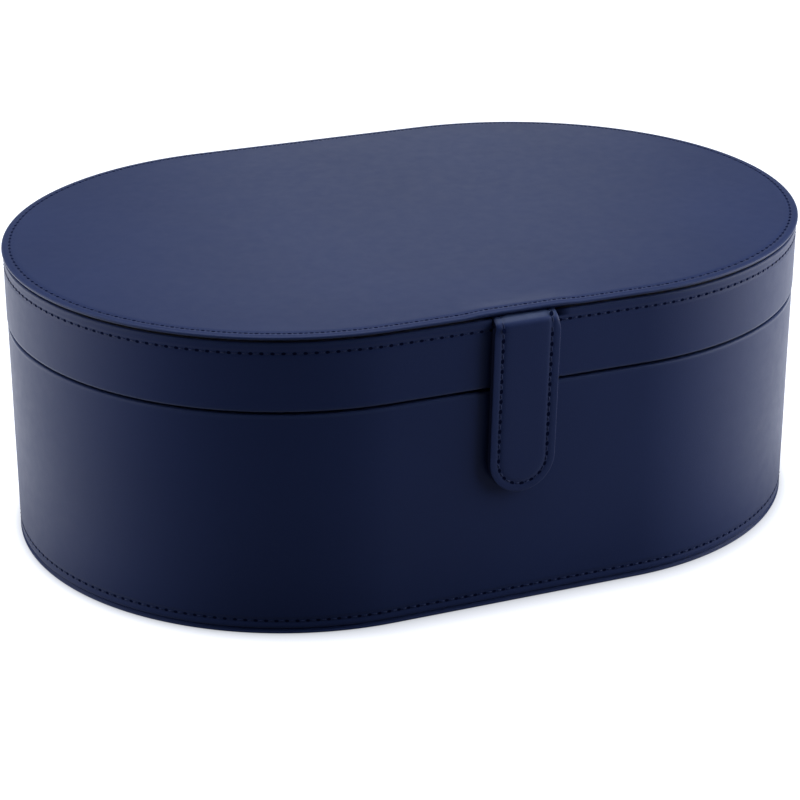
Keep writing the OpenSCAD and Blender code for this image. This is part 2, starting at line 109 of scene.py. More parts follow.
# Front tab: its middle and half width, the frame's own middle for it, and its lean about a height.
TAB_X = -0.6
TAB_HALF = 12.2
TAB_CORE_X = -0.9
TAB_LEAN = 0.024
TAB_LEAN_Z = 62
TAB_BACK_FACE = 2.2
STRAP_THICK = 2.4
# The strap runs out level, goes down a short slope and turns down, and the tab ends in a half circle.
STRAP_INNER_Y = -98.85
STRAP_FRONT = -106.1
STRAP_TOP = 108.55
BEND_RADII = (2.6, 2.4)
SLOPE_TOP_Y = -102.7
SLOPE_FOOT_Z = 106.5
ROUND_Z = 56.5
# At its turn the strap's margins curl under over this width, drop and draw in.
CURL_WIDTH = 2.2
CURL_DROP = 0.45
CURL_DRAW = 0.65
# The opening for the strap: left and right x in the lid's leather, then y and z, each low and high.
STRAP_SLOT_X = (-11.4, 12.4)
STRAP_OPENING = (-110, -90, 105.6, 112)
# The strap lifts the top panel's rim by this much, fading out to each side and in from the edge.
STRAP_LIFT = 0.58
LIFT_SIDE = 11
LIFT_IN = 10

# Hinges, and the openings that clear their barrels and leaves.
HINGE_X = 30.0
BARREL_HALF = 13.2
BARREL_FRONT = 100.75
BARREL_LOW = 80.6
BARREL_HIGH = 85.4
LEAF_HALF = 12.2
LEAF_FRONT = 90
LEAF_LOW = 81.9
LEAF_HIGH = 84.1
PAST_THE_BACK = 120
SCREW_STEP = 7.2

# Mirror.
MIRROR_HALF = 40.0
MIRROR_R = 55.0
MIRROR_FACE = 101.4
SURROUND_R = 63.0
SURROUND_FACE = 100.6

# Stitching: the rows' heights on the walls, their insets on the panels and the tab, and their pitch.
LID_ROW = 104.1
BODY_ROW = 5.3
PANEL_ROW = 3.0
PANEL_ROW_DEPTH = 0.76
TAB_ROW = 3.15
TAB_ROW_DEPTH = 0.14
SURROUND_ROW_R = 60.6
SURROUND_ROW_DEPTH = 0.2
# Half of the gap that the lid wall's row leaves for the strap.
STRAP_GAP = 12.8
GROOVE = 0.16
WALL_PITCH = 3.6
TAB_PITCH = 3.64

# The floor and lid pads swell by this much.
PAD_SWELL = 0.8

# Ring rolls, which draw in over a short way at each end.
ROLL_COUNT = 7
ROLL_END = 61.9
ROLL_PITCH = 12.62
ROLL_HALF = 6.185
ROLL_TALL = 22.0
ROLL_BACK_Y = -1.3
ROLL_DRAW = 2.4


# --- Materials ---


def srgb(code):
    """A colour written as sRGB hex, as the linear values that a shader reads."""
    parts = [int(code[i:i + 2], 16) / 255 for i in (1, 3, 5)]
    linear = [c / 12.92 if c <= 0.04045 else ((c + 0.055) / 1.055) ** 2.4 for c in parts]
    return (*linear, 1.0)


def shade(colour, factor):
    """A linear colour made darker or paler."""
    return tuple(min(1, c * factor) for c in colour[:3]) + (1,)


def feed(tree, node, inputs):
    """Sets a node's inputs, or links them to a socket or to another node's first output."""
    for key, value in inputs.items():
        if isinstance(value, bpy.types.Node):
            value = value.outputs[0]
        if isinstance(value, bpy.types.NodeSocket):
            tree.links.new(value, node.inputs[key])
        else:
            node.inputs[key].default_value = value


def add(tree, kind, inputs=None, **settings):
    """Adds a node with its settings, and feeds its inputs."""
    made = tree.nodes.new(kind)
    for name, value in settings.items():
        setattr(made, name, value)
    feed(tree, made, inputs or {})
    return made


def new_material(name):
    """A material with an empty Principled surface, and the object coordinates in metres."""
    made = bpy.data.materials.new(name)
    made.use_nodes = True
    tree = made.node_tree
    tree.nodes.clear()
    shader = add(tree, "ShaderNodeBsdfPrincipled")
    add(tree, "ShaderNodeOutputMaterial", {"Surface": shader})
    place = add(tree, "ShaderNodeTexCoord").outputs["Object"]
    return made, tree, shader, place


def spread(tree, value, low, high):
    """Maps a 0 to 1 value to a range."""
    return add(tree, "ShaderNodeMapRange", {"Value": value, "To Min": low, "To Max": high})


def blend_colour(tree, factor, first, second, mode="MIX"):
    """Mixes two colours, each a node, a socket or a linear colour."""
    made = add(tree, "ShaderNodeMix", {0: factor, 6: first, 7: second}, data_type="RGBA", blend_type=mode)
    return made.outputs[2]


def satin_leather(name, colour, worn_and_lit, roughness):
    """Smooth box calf with a satin finish: a fine pebble, soft tone drift and burnished turned edges."""
    made, tree, shader, place = new_material(name)
    # The hide's tone drifts over about 60 mm, and mottles over about 5 mm.
    drift = add(tree, "ShaderNodeTexNoise", {"Vector": place, "Scale": 16, "Detail": 3, "Roughness": 0.5})
    mottle = add(tree, "ShaderNodeTexNoise", {"Vector": place, "Scale": 210, "Detail": 2, "Roughness": 0.6})
    toned = blend_colour(tree, spread(tree, drift, -0.4, 1.4), shade(colour, 0.90), shade(colour, 1.10))
    mottled = blend_colour(tree, spread(tree, mottle, 0.0, 0.5), toned, colour)
    # Pebble cells of about 0.7 mm, with painted shade that makes the creases between them darker.
    pebble = add(tree, "ShaderNodeTexVoronoi", {"Vector": place, "Scale": 1400, "Randomness": 1.0},
                 feature="DISTANCE_TO_EDGE")
    pebble_and_crease_shade = blend_colour(tree, 1.0, mottled, spread(tree, pebble, 0.82, 1.04), "MULTIPLY")
    # Turned edges are burnished by handling, unevenly, and the same mask paints a highlight on the strap's
    # bend.
    wear_and_sheen = add(tree, "ShaderNodeAttribute", attribute_name="edge_wear_and_bend_sheen").outputs["Fac"]
    patch = add(tree, "ShaderNodeTexNoise", {"Vector": place, "Scale": 90, "Detail": 4, "Roughness": 0.65})
    share = add(tree, "ShaderNodeMath", {0: wear_and_sheen, 1: spread(tree, patch, 0.2, 1.3)},
                operation="MULTIPLY", use_clamp=True)
    satin = spread(tree, mottle, roughness - 0.05, roughness + 0.05)
    polished = add(tree, "ShaderNodeMath", {0: satin, 1: share}, operation="SUBTRACT")
    # Pores of about 0.3 mm lie over the pebble.
    fine = add(tree, "ShaderNodeTexNoise", {"Vector": place, "Scale": 3200, "Detail": 2, "Roughness": 0.5})
    grain = add(tree, "ShaderNodeBump", {"Height": pebble, "Strength": 0.16, "Distance": 0.12 * MM})
    pores = add(tree, "ShaderNodeBump", {"Height": fine, "Strength": 0.08, "Distance": 0.06 * MM,
                                         "Normal": grain})
    # The finish coat hardly reflects face on and turns pale at a glancing angle.
    feed(tree, shader, {
        "Base Color": blend_colour(tree, share, pebble_and_crease_shade, worn_and_lit),
        "Roughness": add(tree, "ShaderNodeMath", {0: polished, 1: 0.3}, operation="MAXIMUM"),
        "Normal": pores,
        "IOR": 1.4,
        "Specular Tint": (0.1, 0.1, 0.1, 1)})
    return made


def cut_velvet(name, colour, nap_shade):
    """Short pile velvet: painted sheen, light and dark where the pile is brushed, and a bloom of sheen at
    its edges.
    """
    made, tree, shader, place = new_material(name)
    # The brushing runs in patches of about 30 mm, where the pile's sheen is painted paler and darker.
    lay = add(tree, "ShaderNodeMapping", {"Vector": place, "Rotation": (0.3, 0.2, 0.6),
                                          "Scale": (1, 0.35, 1)})
    brushed = add(tree, "ShaderNodeTexNoise", {"Vector": lay, "Scale": 34, "Detail": 4, "Roughness": 0.55,
                                               "Distortion": 0.6})
    # The pile is drawn 0.6 mm coarse, several times its real size, so that it shows.
    pile = add(tree, "ShaderNodeTexNoise", {"Vector": place, "Scale": 1700, "Detail": 3, "Roughness": 0.7})
    brushed_sheen_painted = blend_colour(tree, spread(tree, brushed, -0.1, 1.1), nap_shade, colour)
    feed(tree, shader, {
        "Base Color": blend_colour(tree, 1.0, brushed_sheen_painted, spread(tree, pile, 0.72, 1.2), "MULTIPLY"),
        "Roughness": spread(tree, brushed, 0.8, 0.95),
        "Normal": add(tree, "ShaderNodeBump", {"Height": pile, "Strength": 0.5, "Distance": 0.3 * MM}),
        "Sheen Weight": 0.45,
        "Sheen Roughness": 0.35,
        "Sheen Tint": (0.95, 0.92, 0.88, 1),
        "Specular IOR Level": 0.15})
    return made


def pressed_board(name, colour):
    """Grey binder's board: recycled paper fibre, flecked, with a dull pressed face."""
    made, tree, shader, place = new_material(name)
    # Fibre of about 1 mm, and a fleck every 2 to 3 mm.
    fibre = add(tree, "ShaderNodeTexNoise", {"Vector": place, "Scale": 900, "Detail": 5, "Roughness": 0.7})
    fleck = add(tree, "ShaderNodeTexVoronoi", {"Vector": place, "Scale": 420})
    spots = add(tree, "ShaderNodeMapRange", {"Value": fleck, "From Min": 0.05, "From Max": 0.16,
                                             "To Min": 0.62, "To Max": 1.0})
    pulp = blend_colour(tree, spread(tree, fibre, 0.1, 0.9), shade(colour, 0.8), colour)
    feed(tree, shader, {
        "Base Color": blend_colour(tree, 1.0, pulp, spots, "MULTIPLY"),
        "Roughness": spread(tree, fibre, 0.82, 0.96),
        "Normal": add(tree, "ShaderNodeBump", {"Height": fibre, "Strength": 0.3, "Distance": 0.1 * MM}),
        "Specular IOR Level": 0.25})
    return made


def open_foam(name, colour):
    """Open cell polyurethane foam: pores of about half a millimetre, matt."""
    made, tree, shader, place = new_material(name)
    # The pores' middles are painted darker, as painted shade inside them.
    pores = add(tree, "ShaderNodeTexVoronoi", {"Vector": place, "Scale": 1900}, feature="SMOOTH_F1")
    feed(tree, shader, {
        "Base Color": blend_colour(tree, pores, shade(colour, 0.55), colour),
        "Roughness": spread(tree, pores, 0.8, 0.98),
        "Normal": add(tree, "ShaderNodeBump", {"Height": pores, "Strength": 0.8, "Distance": 0.3 * MM})})
    return made


def worked_metal(name, colour, tarnish, roughness, lines):
    """Plated or brushed metal: fine lines from the wheel along X, and a thin uneven tarnish."""
    made, tree, shader, place = new_material(name)
    # The lines are drawn 0.4 to 1.1 mm apart, coarser than the wheel leaves them, so that they show.
    along = add(tree, "ShaderNodeMapping", {"Vector": place, "Scale": (0.03, 1, 1)})
    brush = add(tree, "ShaderNodeTexNoise", {"Vector": along, "Scale": lines, "Detail": 3, "Roughness": 0.6})
    stain = add(tree, "ShaderNodeTexNoise", {"Vector": place, "Scale": 320, "Detail": 4, "Roughness": 0.6})
    feed(tree, shader, {
        "Base Color": blend_colour(tree, spread(tree, stain, -0.3, 0.8), colour, tarnish),
        "Roughness": spread(tree, brush, roughness - 0.08, roughness + 0.1),
        "Normal": add(tree, "ShaderNodeBump", {"Height": brush, "Strength": 0.12, "Distance": 0.04 * MM}),
        "Metallic": 1.0})
    return made


def silvered_glass(name, colour, hazed):
    """Float glass silvered on its back: a clean mirror with faint wiping haze."""
    made, tree, shader, place = new_material(name)
    haze = add(tree, "ShaderNodeTexNoise", {"Vector": place, "Scale": 26, "Detail": 5, "Roughness": 0.7,
                                            "Distortion": 1.4})
    feed(tree, shader, {
        "Base Color": blend_colour(tree, spread(tree, haze, 0.0, 0.35), colour, hazed),
        "Roughness": spread(tree, haze, 0.0, 0.07),
        "Metallic": 1.0})
    return made


def ribbed_ribbon(name, colour):
    """Grosgrain ribbon: ribs of weft about 0.9 mm apart across its width, with a silky face."""
    made, tree, shader, place = new_material(name)
    # The wave turns 20 radians for each unit of its scale, so this scale gives a rib every 0.9 mm.
    wave = add(tree, "ShaderNodeTexWave", {"Vector": place, "Scale": 350.14, "Distortion": 0.25,
                                           "Detail": 1}, wave_type="BANDS", bands_direction="Z")
    ribs = wave.outputs["Fac"]
    yarn = add(tree, "ShaderNodeTexNoise", {"Vector": place, "Scale": 1500, "Detail": 3})
    # The grooves between the ribs are painted darker, as painted shade.
    rib_groove_shade = blend_colour(tree, ribs, shade(colour, 0.55), colour)
    feed(tree, shader, {
        "Base Color": blend_colour(tree, 1.0, rib_groove_shade, spread(tree, yarn, 0.8, 1.15), "MULTIPLY"),
        "Roughness": spread(tree, yarn, 0.45, 0.6),
        "Normal": add(tree, "ShaderNodeBump", {"Height": ribs, "Strength": 0.7, "Distance": 0.2 * MM}),
        "Sheen Weight": 0.2})
    return made


def sewing_thread(name, colour):
    """Bonded polyester thread: three plies that twist round each other, slightly glossy."""
    made, tree, shader, place = new_material(name)
    # The plies cross about six times along a stitch, with painted shade in the grooves between them.
    run = add(tree, "ShaderNodeAttribute", attribute_name="thread_run").outputs["Fac"]
    twist = add(tree, "ShaderNodeMath", {0: run, 1: 38.0}, operation="MULTIPLY")
    plies = add(tree, "ShaderNodeMath", {0: twist}, operation="SINE")
    fuzz = add(tree, "ShaderNodeTexNoise", {"Vector": place, "Scale": 5200, "Detail": 2})
    ply_groove_shade = blend_colour(tree, spread(tree, plies, 0.3, 0.9), shade(colour, 0.6), colour)
    feed(tree, shader, {
        "Base Color": blend_colour(tree, 1.0, ply_groove_shade, spread(tree, fuzz, 0.8, 1.2), "MULTIPLY"),
        "Roughness": spread(tree, fuzz, 0.42, 0.62),
        "Specular Tint": (0.05, 0.07, 0.12, 1)})
    return made


def shaded_edge_paint(name, colour):
    """Matt edge paint on a strap's cut edge, near black as painted shade: thin coats over the fibre, a
    little uneven.
    """
    made, tree, shader, place = new_material(name)
    coat = add(tree, "ShaderNodeTexNoise", {"Vector": place, "Scale": 700, "Detail": 3, "Roughness": 0.6})
    feed(tree, shader, {
        "Base Color": blend_colour(tree, spread(tree, coat, -0.2, 1.0), colour, shade(colour, 1.5)),
        "Normal": add(tree, "ShaderNodeBump", {"Height": coat, "Strength": 0.25, "Distance": 0.1 * MM}),
        "Roughness": 0.7,
        "Specular IOR Level": 0.04})
    return made


def painted_hole_shade(name, colour, fibre_colour):
    """Painted shade for the inside of a needle hole: raw dyed fibre coloured as if in deep shade."""
    made, tree, shader, place = new_material(name)
    fibre = add(tree, "ShaderNodeTexNoise", {"Vector": place, "Scale": 4000, "Detail": 2})
    feed(tree, shader, {
        "Base Color": blend_colour(tree, fibre, colour, fibre_colour),
        "Roughness": spread(tree, fibre, 0.85, 1.0),
        "Specular IOR Level": 0.0})
    return made


LEATHER = satin_leather("navy_satin_calf", srgb("#1f2b51"), srgb("#44516f"), 0.42)
VELVET = cut_velvet("warm_grey_velvet", srgb("#b9b2a8"), srgb("#8f877c"))
VELVET_DEEP = cut_velvet("deep_grey_velvet", srgb("#a39b90"), srgb("#7d756a"))
BOARD = pressed_board("grey_binders_board", srgb("#8d8a84"))
FOAM = open_foam("white_open_cell_foam", srgb("#e9e6df"))
STEEL = worked_metal("plated_steel", srgb("#c9ccd0"), srgb("#a9adb2"), 0.3, 2600)
MAGNET_PLATE = worked_metal("nickel_plated_magnet", srgb("#b4b5b8"), srgb("#96989c"), 0.26, 900)
BRASS = worked_metal("satin_brass", srgb("#c8a863"), srgb("#a8853f"), 0.3, 2200)
MIRROR = silvered_glass("silvered_mirror_glass", srgb("#dfe4e6"), srgb("#c3cbd0"))
RIBBON = ribbed_ribbon("navy_grosgrain_ribbon", srgb("#26325e"))
THREAD = sewing_thread("navy_bonded_thread", srgb("#1d2749"))
PAINTED_HOLE_SHADE = painted_hole_shade("needle_hole_shade", srgb("#060b22"), srgb("#0e1530"))
EDGE_PAINT_AND_SHADE = shaded_edge_paint("dark_edge_paint_and_shade", srgb("#0a0e20"))

# The inner boards, foam, steel and magnet keep the frame's own shape and only get their finish here.
for cad_name, cad_finish in (
        ("base_board", BOARD), ("body_wall_board", BOARD), ("collar_board", BOARD), ("keeper_plate", STEEL),
        ("top_foam", FOAM), ("top_board", BOARD), ("lid_wall_board", BOARD), ("lid_inner_board", BOARD),
        ("tab_stiffener", BOARD), ("tab_magnet", MAGNET_PLATE), ("tray_base_board", BOARD)):
    cad_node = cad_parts[cad_name]
    cad_node.data.materials.clear()
    cad_node.data.materials.append(cad_finish)


# --- Making meshes ---


def finish_piece(obj, material, body, slot, *stands_for):
    """Gives a piece its finish, the body it rides on and the frame's nodes it stands for."""
    if material is not None:
        obj.data.materials.clear()
        obj.data.materials.append(material)
    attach(obj, body)
    if stands_for:
        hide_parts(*stands_for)
    return obj


def smooth_mesh(name, work):
    """Turns a bmesh in metres into mesh data, with its faces shaded smooth."""
    data = bpy.data.meshes.new(name)
    work.to_mesh(data)
    work.free()
    for face in data.polygons:
        face.use_smooth = True
    return data


def mesh_object(name, work):
    """Turns a bmesh in metres into an object of the scene."""
    made = bpy.data.objects.new(name, smooth_mesh(name, work))
    bpy.context.scene.collection.objects.link(made)
    return made


def close_up(work, fill=False):
    """Merges what meets, drops what has no size and turns every face outwards."""
    bmesh.ops.remove_doubles(work, verts=work.verts, dist=0.004 * MM)
    bmesh.ops.dissolve_degenerate(work, dist=0.001 * MM, edges=work.edges)
    if fill:
        fill_holes(work)
    bmesh.ops.recalc_face_normals(work, faces=work.faces)


def fill_holes(work):
    """Closes every open edge loop by a face."""
    bmesh.ops.holes_fill(work, edges=[e for e in work.edges if e.is_boundary], sides=0)


def join_rows(work, rows, columns, ring=False):
    """Joins rows of vertices by quads, as (column, face), and the last row to the first in a ring."""
    made = []
    for i in range(len(rows) if ring else len(rows) - 1):
        row = rows[i]
        following = rows[(i + 1) % len(rows)]
        for j in columns:
            k = (j + 1) % len(row)
            made.append((j, work.faces.new((row[j], following[j], following[k], row[k]))))
    return made


def stations(half, arc_steps, straight_steps, seam=False):
    """Points round the plan as (foot x, normal x, normal y), anticlockwise from the right end's front."""
    made = []
    for side in (1, -1):
        for i in range(arc_steps + 1):
            turn = -math.pi / 2 + math.pi * i / arc_steps + (0 if side > 0 else math.pi)
            made.append((side * half, math.cos(turn), math.sin(turn)))
        run = [side * half * (1 - 2 * i / straight_steps) for i in range(1, straight_steps)]
        if seam and side > 0:
            run = sorted(set(run) | set(SEAM_STEPS), reverse=True)
        made.extend((x, 0.0, float(side)) for x in run)
    return made


def swept(name, profile, half=HALF_STRAIGHT, radius=PLAN_R, arc_steps=96, straight_steps=16, ripple=0.0,
          seam=False, lift=None):
    """Sweeps a closed profile of (inset, height, wear) round the plan, and closes it at the middle.

    A ripple moves the walls in and out by up to that much, a seam draws the outer face in at the
    middle of the back, and lift says how far each point rises.
    """
    work = bmesh.new()
    wear_and_sheen = work.verts.layers.float.new("edge_wear_and_bend_sheen")
    rows = []
    for foot, nx, ny in stations(half, arc_steps, straight_steps, seam):
        on_seam = seam and ny > 0.999 and abs(foot) < SEAM_HALF
        row = []
        for inset, height, worn_and_lit in profile:
            r = radius - inset
            x, y, z = foot + r * nx, r * ny, height
            if ripple and r > 1:
                push = ripple * noise.noise(Vector((x, y, z * 1.4)) / RIPPLE_LENGTH)
                x += nx * push
                y += ny * push
            if on_seam and inset < SEAM_SKIN:
                y -= SEAM_DEPTH
            if lift:
                z += lift(x, y, inset, height)
            vert = work.verts.new((x * MM, y * MM, z * MM))
            vert[wear_and_sheen] = worn_and_lit
            row.append(vert)
        rows.append(row)
    # Two points that both lie on the plan's middle line have no face between them.
    steps = zip(profile, profile[1:] + profile[:1])
    columns = [j for j, (here, there) in enumerate(steps) if radius - min(here[0], there[0]) >= 0.01]
    join_rows(work, rows, columns, ring=True)
    close_up(work)
    return mesh_object(name, work)


def arc_points(inset, height, r, start, end, steps, wear_and_sheen=0.0):
    """Profile points on an arc. Angle 0 points outwards and 90 points up."""
    made = []
    for i in range(steps + 1):
        turn = math.radians(start + (end - start) * i / steps)
        made.append((inset - r * math.cos(turn), height + r * math.sin(turn), wear_and_sheen))
    return made


def box_cutter(boxes):
    """One object that holds a closed box for each (x0, x1, y0, y1, z0, z1)."""
    work = bmesh.new()
    for x0, x1, y0, y1, z0, z1 in boxes:
        size = Matrix.Diagonal(((x1 - x0) * MM, (y1 - y0) * MM, (z1 - z0) * MM, 1))
        middle = Matrix.Translation(((x0 + x1) / 2 * MM, (y0 + y1) / 2 * MM, (z0 + z1) / 2 * MM))
        bmesh.ops.create_cube(work, size=1, matrix=middle @ size)
    return mesh_object("cutter", work)


def apply_modifiers(obj):
    """Replaces an object's mesh by what its modifiers make of it."""
    bpy.context.view_layer.update()
    whole = bpy.data.meshes.new_from_object(obj.evaluated_get(bpy.context.evaluated_depsgraph_get()))
    obj.modifiers.clear()
    obj.data = whole
    return obj


def cut_away(obj, boxes):
    """Cuts boxes out of a piece, as a knife cuts openings in a covering."""
    knife = box_cutter(boxes)
    slice_off = obj.modifiers.new("openings", "BOOLEAN")
    slice_off.operation = "DIFFERENCE"
    slice_off.solver = "EXACT"
    slice_off.use_self = True
    slice_off.object = knife
    apply_modifiers(obj)
    bpy.data.objects.remove(knife)
    return obj


def hinge_openings(half, front, low, high):
    """A box for each hinge, from a front face to past the case's back."""
    return [(x - half, x + half, front, PAST_THE_BACK, low, high) for x in (-HINGE_X, HINGE_X)]


def eased_copy(name, node, width, segments=2, angle=35):
    """A copy of a node of the frame with its edges eased by a small round."""
    work = bmesh.new()
    work.from_mesh(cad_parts[node].data)
    bmesh.ops.remove_doubles(work, verts=work.verts, dist=0.002 * MM)
    bmesh.ops.dissolve_limit(work, angle_limit=math.radians(1.0), verts=work.verts, edges=work.edges)
    made = mesh_object(name, work)
    ease = made.modifiers.new("eased edges", "BEVEL")
    ease.width = width * MM
    ease.segments = segments
    ease.limit_method = "ANGLE"
    ease.angle_limit = math.radians(angle)
    ease.use_clamp_overlap = True
    apply_modifiers(made)
    # Rounds that meet on a small edge leave slivers, which are merged away.
    work = bmesh.new()
    work.from_mesh(made.data)
    bmesh.ops.remove_doubles(work, verts=work.verts, dist=0.002 * MM)
    bmesh.ops.dissolve_degenerate(work, dist=0.002 * MM, edges=work.edges)
    fill_holes(work)
    made.data = smooth_mesh(name, work)
    sharp = made.modifiers.new("clean shading", "WEIGHTED_NORMAL")
    sharp.keep_sharp = True
    return apply_modifiers(made)


def ramp(distance, reach):
    """0 at an edge, rising smoothly to 1 at a reach in from it."""
    t = min(1.0, max(0.0, distance / reach))
    return t * t * (3 - 2 * t)


# --- Leather coverings ---


def panel_profile(crown, edge, fold_half):
    """A covered panel's profile, as (inset, depth below its face, wear), face side first.

    The crown is 1 for a padded face and 0 for a flat one, the edge is its outline's inset, and fold_half
    is half the height of its turned edge.
    """
    skin = [(PLAN_R, 0.0), (80.0, 0.0), (60.0, 0.01), (45.0, 0.03), (32.0, 0.08), (22.0, 0.16),
            (15.0, 0.27), (10.0, 0.38), (7.0, 0.45), (5.2, 0.47), (4.4, 0.50), (3.8, 0.60), (3.45, 0.72),
            (3.0, 0.76), (2.55, 0.74), (2.2, 0.70), (1.8, 0.71), (1.4, 0.77), (1.05, 0.88)]
    skin = [(inset, depth * crown if inset > 5 else depth - MARGIN_DEPTH * (1 - crown))
            for inset, depth in skin]
    fold = skin[-1][1] + fold_half
    fold_r = (FOLD_IN - FOLD_OUT) / 2
    made = [(inset, depth, 0.0) for inset, depth in skin]
    made += [(FOLD_OUT + fold_r - fold_r * math.cos(t), fold - fold_half * math.sin(t), 0.1 * crown)
             for t in (math.pi / 2 - math.pi * i / 12 for i in range(1, 13))]
    # What lies outside the fold's inner end is drawn in to the outline's inset.
    squeeze = (FOLD_IN - edge) / (FOLD_IN - FOLD_OUT)
    made = [(inset if inset > FOLD_IN else edge + (inset - FOLD_OUT) * squeeze, depth, worn_and_lit)
            for inset, depth, worn_and_lit in made]
    made += [(FOLD_IN, PANEL_THICK, 0.0), (1.6, PANEL_THICK, 0.0), (1.6, PANEL_LEATHER + 0.5, 0.0)]
    # The leather's back follows its face as far out as the stitching.
    made += [(inset, max(PANEL_LEATHER, depth + 0.35), 0.0) for inset, depth in reversed(skin[:14])]
    return made


def wall_run(inset, low, high, step):
    """Plain profile points up a wall."""
    count = max(1, round((high - low) / step))
    return [(inset, low + (high - low) * i / count, 0) for i in range(count + 1)]


def wall_points(inset, *heights):
    """Plain profile points at given heights of a wall."""
    return [(inset, height, 0) for height in heights]


def stitch_groove(inset, height):
    """The shallow groove that a row of stitches pulls into a wall."""
    slope = [(1.5, 0.0), (1.1, 0.04), (0.8, 0.13), (0.5, GROOVE), (0.0, GROOVE)]
    below = [(inset + depth, height - away, 0) for away, depth in slope]
    return below + [(inset + depth, height + away, 0) for away, depth in reversed(slope[:-1])]


def strap_rise(x, y, inset):
    """How far the strap lifts the top panel's rim where it passes under it."""
    if y > 0:
        return 0
    return STRAP_LIFT * ramp(TAB_HALF + LIFT_SIDE - abs(x), LIFT_SIDE) * (1 - ramp(inset - 2, LIFT_IN))


def panel_lift(x, y, inset, z):
    """The padded face's slow unevenness, and the rise over the strap, which leaves the turned-in lip."""
    if z < PANEL_UNDER + 0.1:
        return 0
    soft = 0.08 * noise.noise(Vector((x, y, 0)) / 48) if z > PANEL_FACE_LOW else 0
    return soft + strap_rise(x, y, inset)


top_profile = [(inset, CASE_TOP - depth, worn_and_lit) for inset, depth, worn_and_lit in panel_profile(1.0, FOLD_OUT, 0.62)]
top_cover = swept("top_cover", top_profile, straight_steps=36, ripple=0.05, lift=panel_lift)
finish_piece(top_cover, LEATHER, "lid", "navy_leather", "top_leather")

padding_profile = [
    (PLAN_R, 110.12, 0), (60.0, 110.12, 0), (32.0, 110.06, 0), (15.0, 109.98, 0), (6.0, 109.9, 0),
    (3.2, 109.8, 0), (1.75, 109.72, 0), (1.75, TOP_FOAM_UNDER, 0), (PLAN_R, TOP_FOAM_UNDER, 0)]
top_padding = swept("top_padding", padding_profile, arc_steps=64)
finish_piece(top_padding, FOAM, "lid", "foam", "top_foam")

base_cover = swept("base_cover", panel_profile(0.0, 0.6, 0.42), ripple=0.04)
finish_piece(base_cover, LEATHER, "body", "navy_leather", "base_leather")

lid_wall_profile = (
    arc_points(LID_FACE + 0.7, LID_RIM + 0.7, 0.7, -90, 0, 5, 0.12)
    + wall_run(LID_FACE, LID_RIM + 1.2, LID_ROW - 2.2, 6)
    + stitch_groove(LID_FACE, LID_ROW)
    + wall_points(LID_FACE, 106.3)
    + arc_points(LID_FACE + 0.8, LID_WALL_TOP - 0.8, 0.8, 0, 90, 6, 0.1)
    + wall_points(LID_BOARD_BACK, LID_WALL_TOP, LID_WALL_TOP - 0.3)
    + wall_points(LID_LEATHER_BACK, LID_WALL_TOP - 0.3, 96, LID_LIP)
    + wall_points(LID_BOARD_BACK, LID_LIP, LID_RIM))
lid_wall_cover = swept("lid_wall_cover", lid_wall_profile, ripple=0.07, seam=True)
cut_away(lid_wall_cover, [
    *hinge_openings(BARREL_HALF, BARREL_FRONT, low=80, high=BARREL_HIGH),
    *hinge_openings(LEAF_HALF, LEAF_FRONT, low=80, high=LEAF_HIGH),
    (*STRAP_SLOT_X, *STRAP_OPENING)])
finish_piece(lid_wall_cover, LEATHER, "lid", "navy_leather", "lid_wall_leather")

body_wall_profile = (
    wall_points(BODY_BOARD_BACK, BODY_RIM, BODY_LIP)
    + wall_points(BODY_LEATHER_BACK, BODY_LIP, 60, 30, BASE_TOP)
    + arc_points(BODY_FACE + 0.5, BASE_TOP + 0.5, 0.5, -90, 0, 4)
    + wall_points(BODY_FACE - 0.04, 3.3)
    + stitch_groove(BODY_FACE, BODY_ROW)
    + wall_run(BODY_FACE, 7.5, 80.5, 6.5)
    + arc_points(BODY_FACE + 0.9, BODY_RIM - 0.9, 0.9, 0, 90, 6, 0.15))
body_wall_cover = swept("body_wall_cover", body_wall_profile, ripple=0.07, seam=True)
cut_away(body_wall_cover, [
    *hinge_openings(BARREL_HALF, BARREL_FRONT, low=BARREL_LOW, high=90),
    *hinge_openings(LEAF_HALF, LEAF_FRONT, low=LEAF_LOW, high=90)])
finish_piece(body_wall_cover, LEATHER, "body", "navy_leather", "body_wall_leather")


# --- Front tab ---


def follow(y, z, turn, radius, length):
    """Goes on from a point of the strap's line, straight or round a bend: the new y, z and turn."""
    if radius is None:
        return y - length * math.cos(turn), z - length * math.sin(turn), turn
    swung = turn + length / radius
    y -= radius * (math.sin(swung) - math.sin(turn))
    z -= radius * (math.cos(turn) - math.cos(swung))
    return y, z, swung


def strap_pieces():
    """The strap's line as (start, y, z, turn, radius) for each stretch: out, down a slope and down."""
    slope_turn = math.atan2(STRAP_TOP - SLOPE_FOOT_Z, SLOPE_TOP_Y - STRAP_FRONT)
    turns = (slope_turn, math.pi / 2 - slope_turn)
    cuts = [r * math.tan(t / 2) for r, t in zip(BEND_RADII, turns)]
    slope = math.hypot(SLOPE_TOP_Y - STRAP_FRONT, STRAP_TOP - SLOPE_FOOT_Z) - sum(cuts)
    stretches = (
        (STRAP_INNER_Y - SLOPE_TOP_Y - cuts[0], None),
        (BEND_RADII[0] * turns[0], BEND_RADII[0]),
        (slope, None),
        (BEND_RADII[1] * turns[1], BEND_RADII[1]),
        (100.0, None))
    start, y, z, turn = 0.0, STRAP_INNER_Y, STRAP_TOP, 0.0
    made = []
    for length, radius in stretches:
        made.append((start, y, z, turn, radius))
        start += length
        y, z, turn = follow(y, z, turn, radius, length)
    return made


STRAP_RUN = strap_pieces()
BEND_START = STRAP_RUN[1][0]
BEND_END, _, BEND_END_Z, _, _ = STRAP_RUN[4]
ROUND_START = BEND_END + BEND_END_Z - ROUND_Z


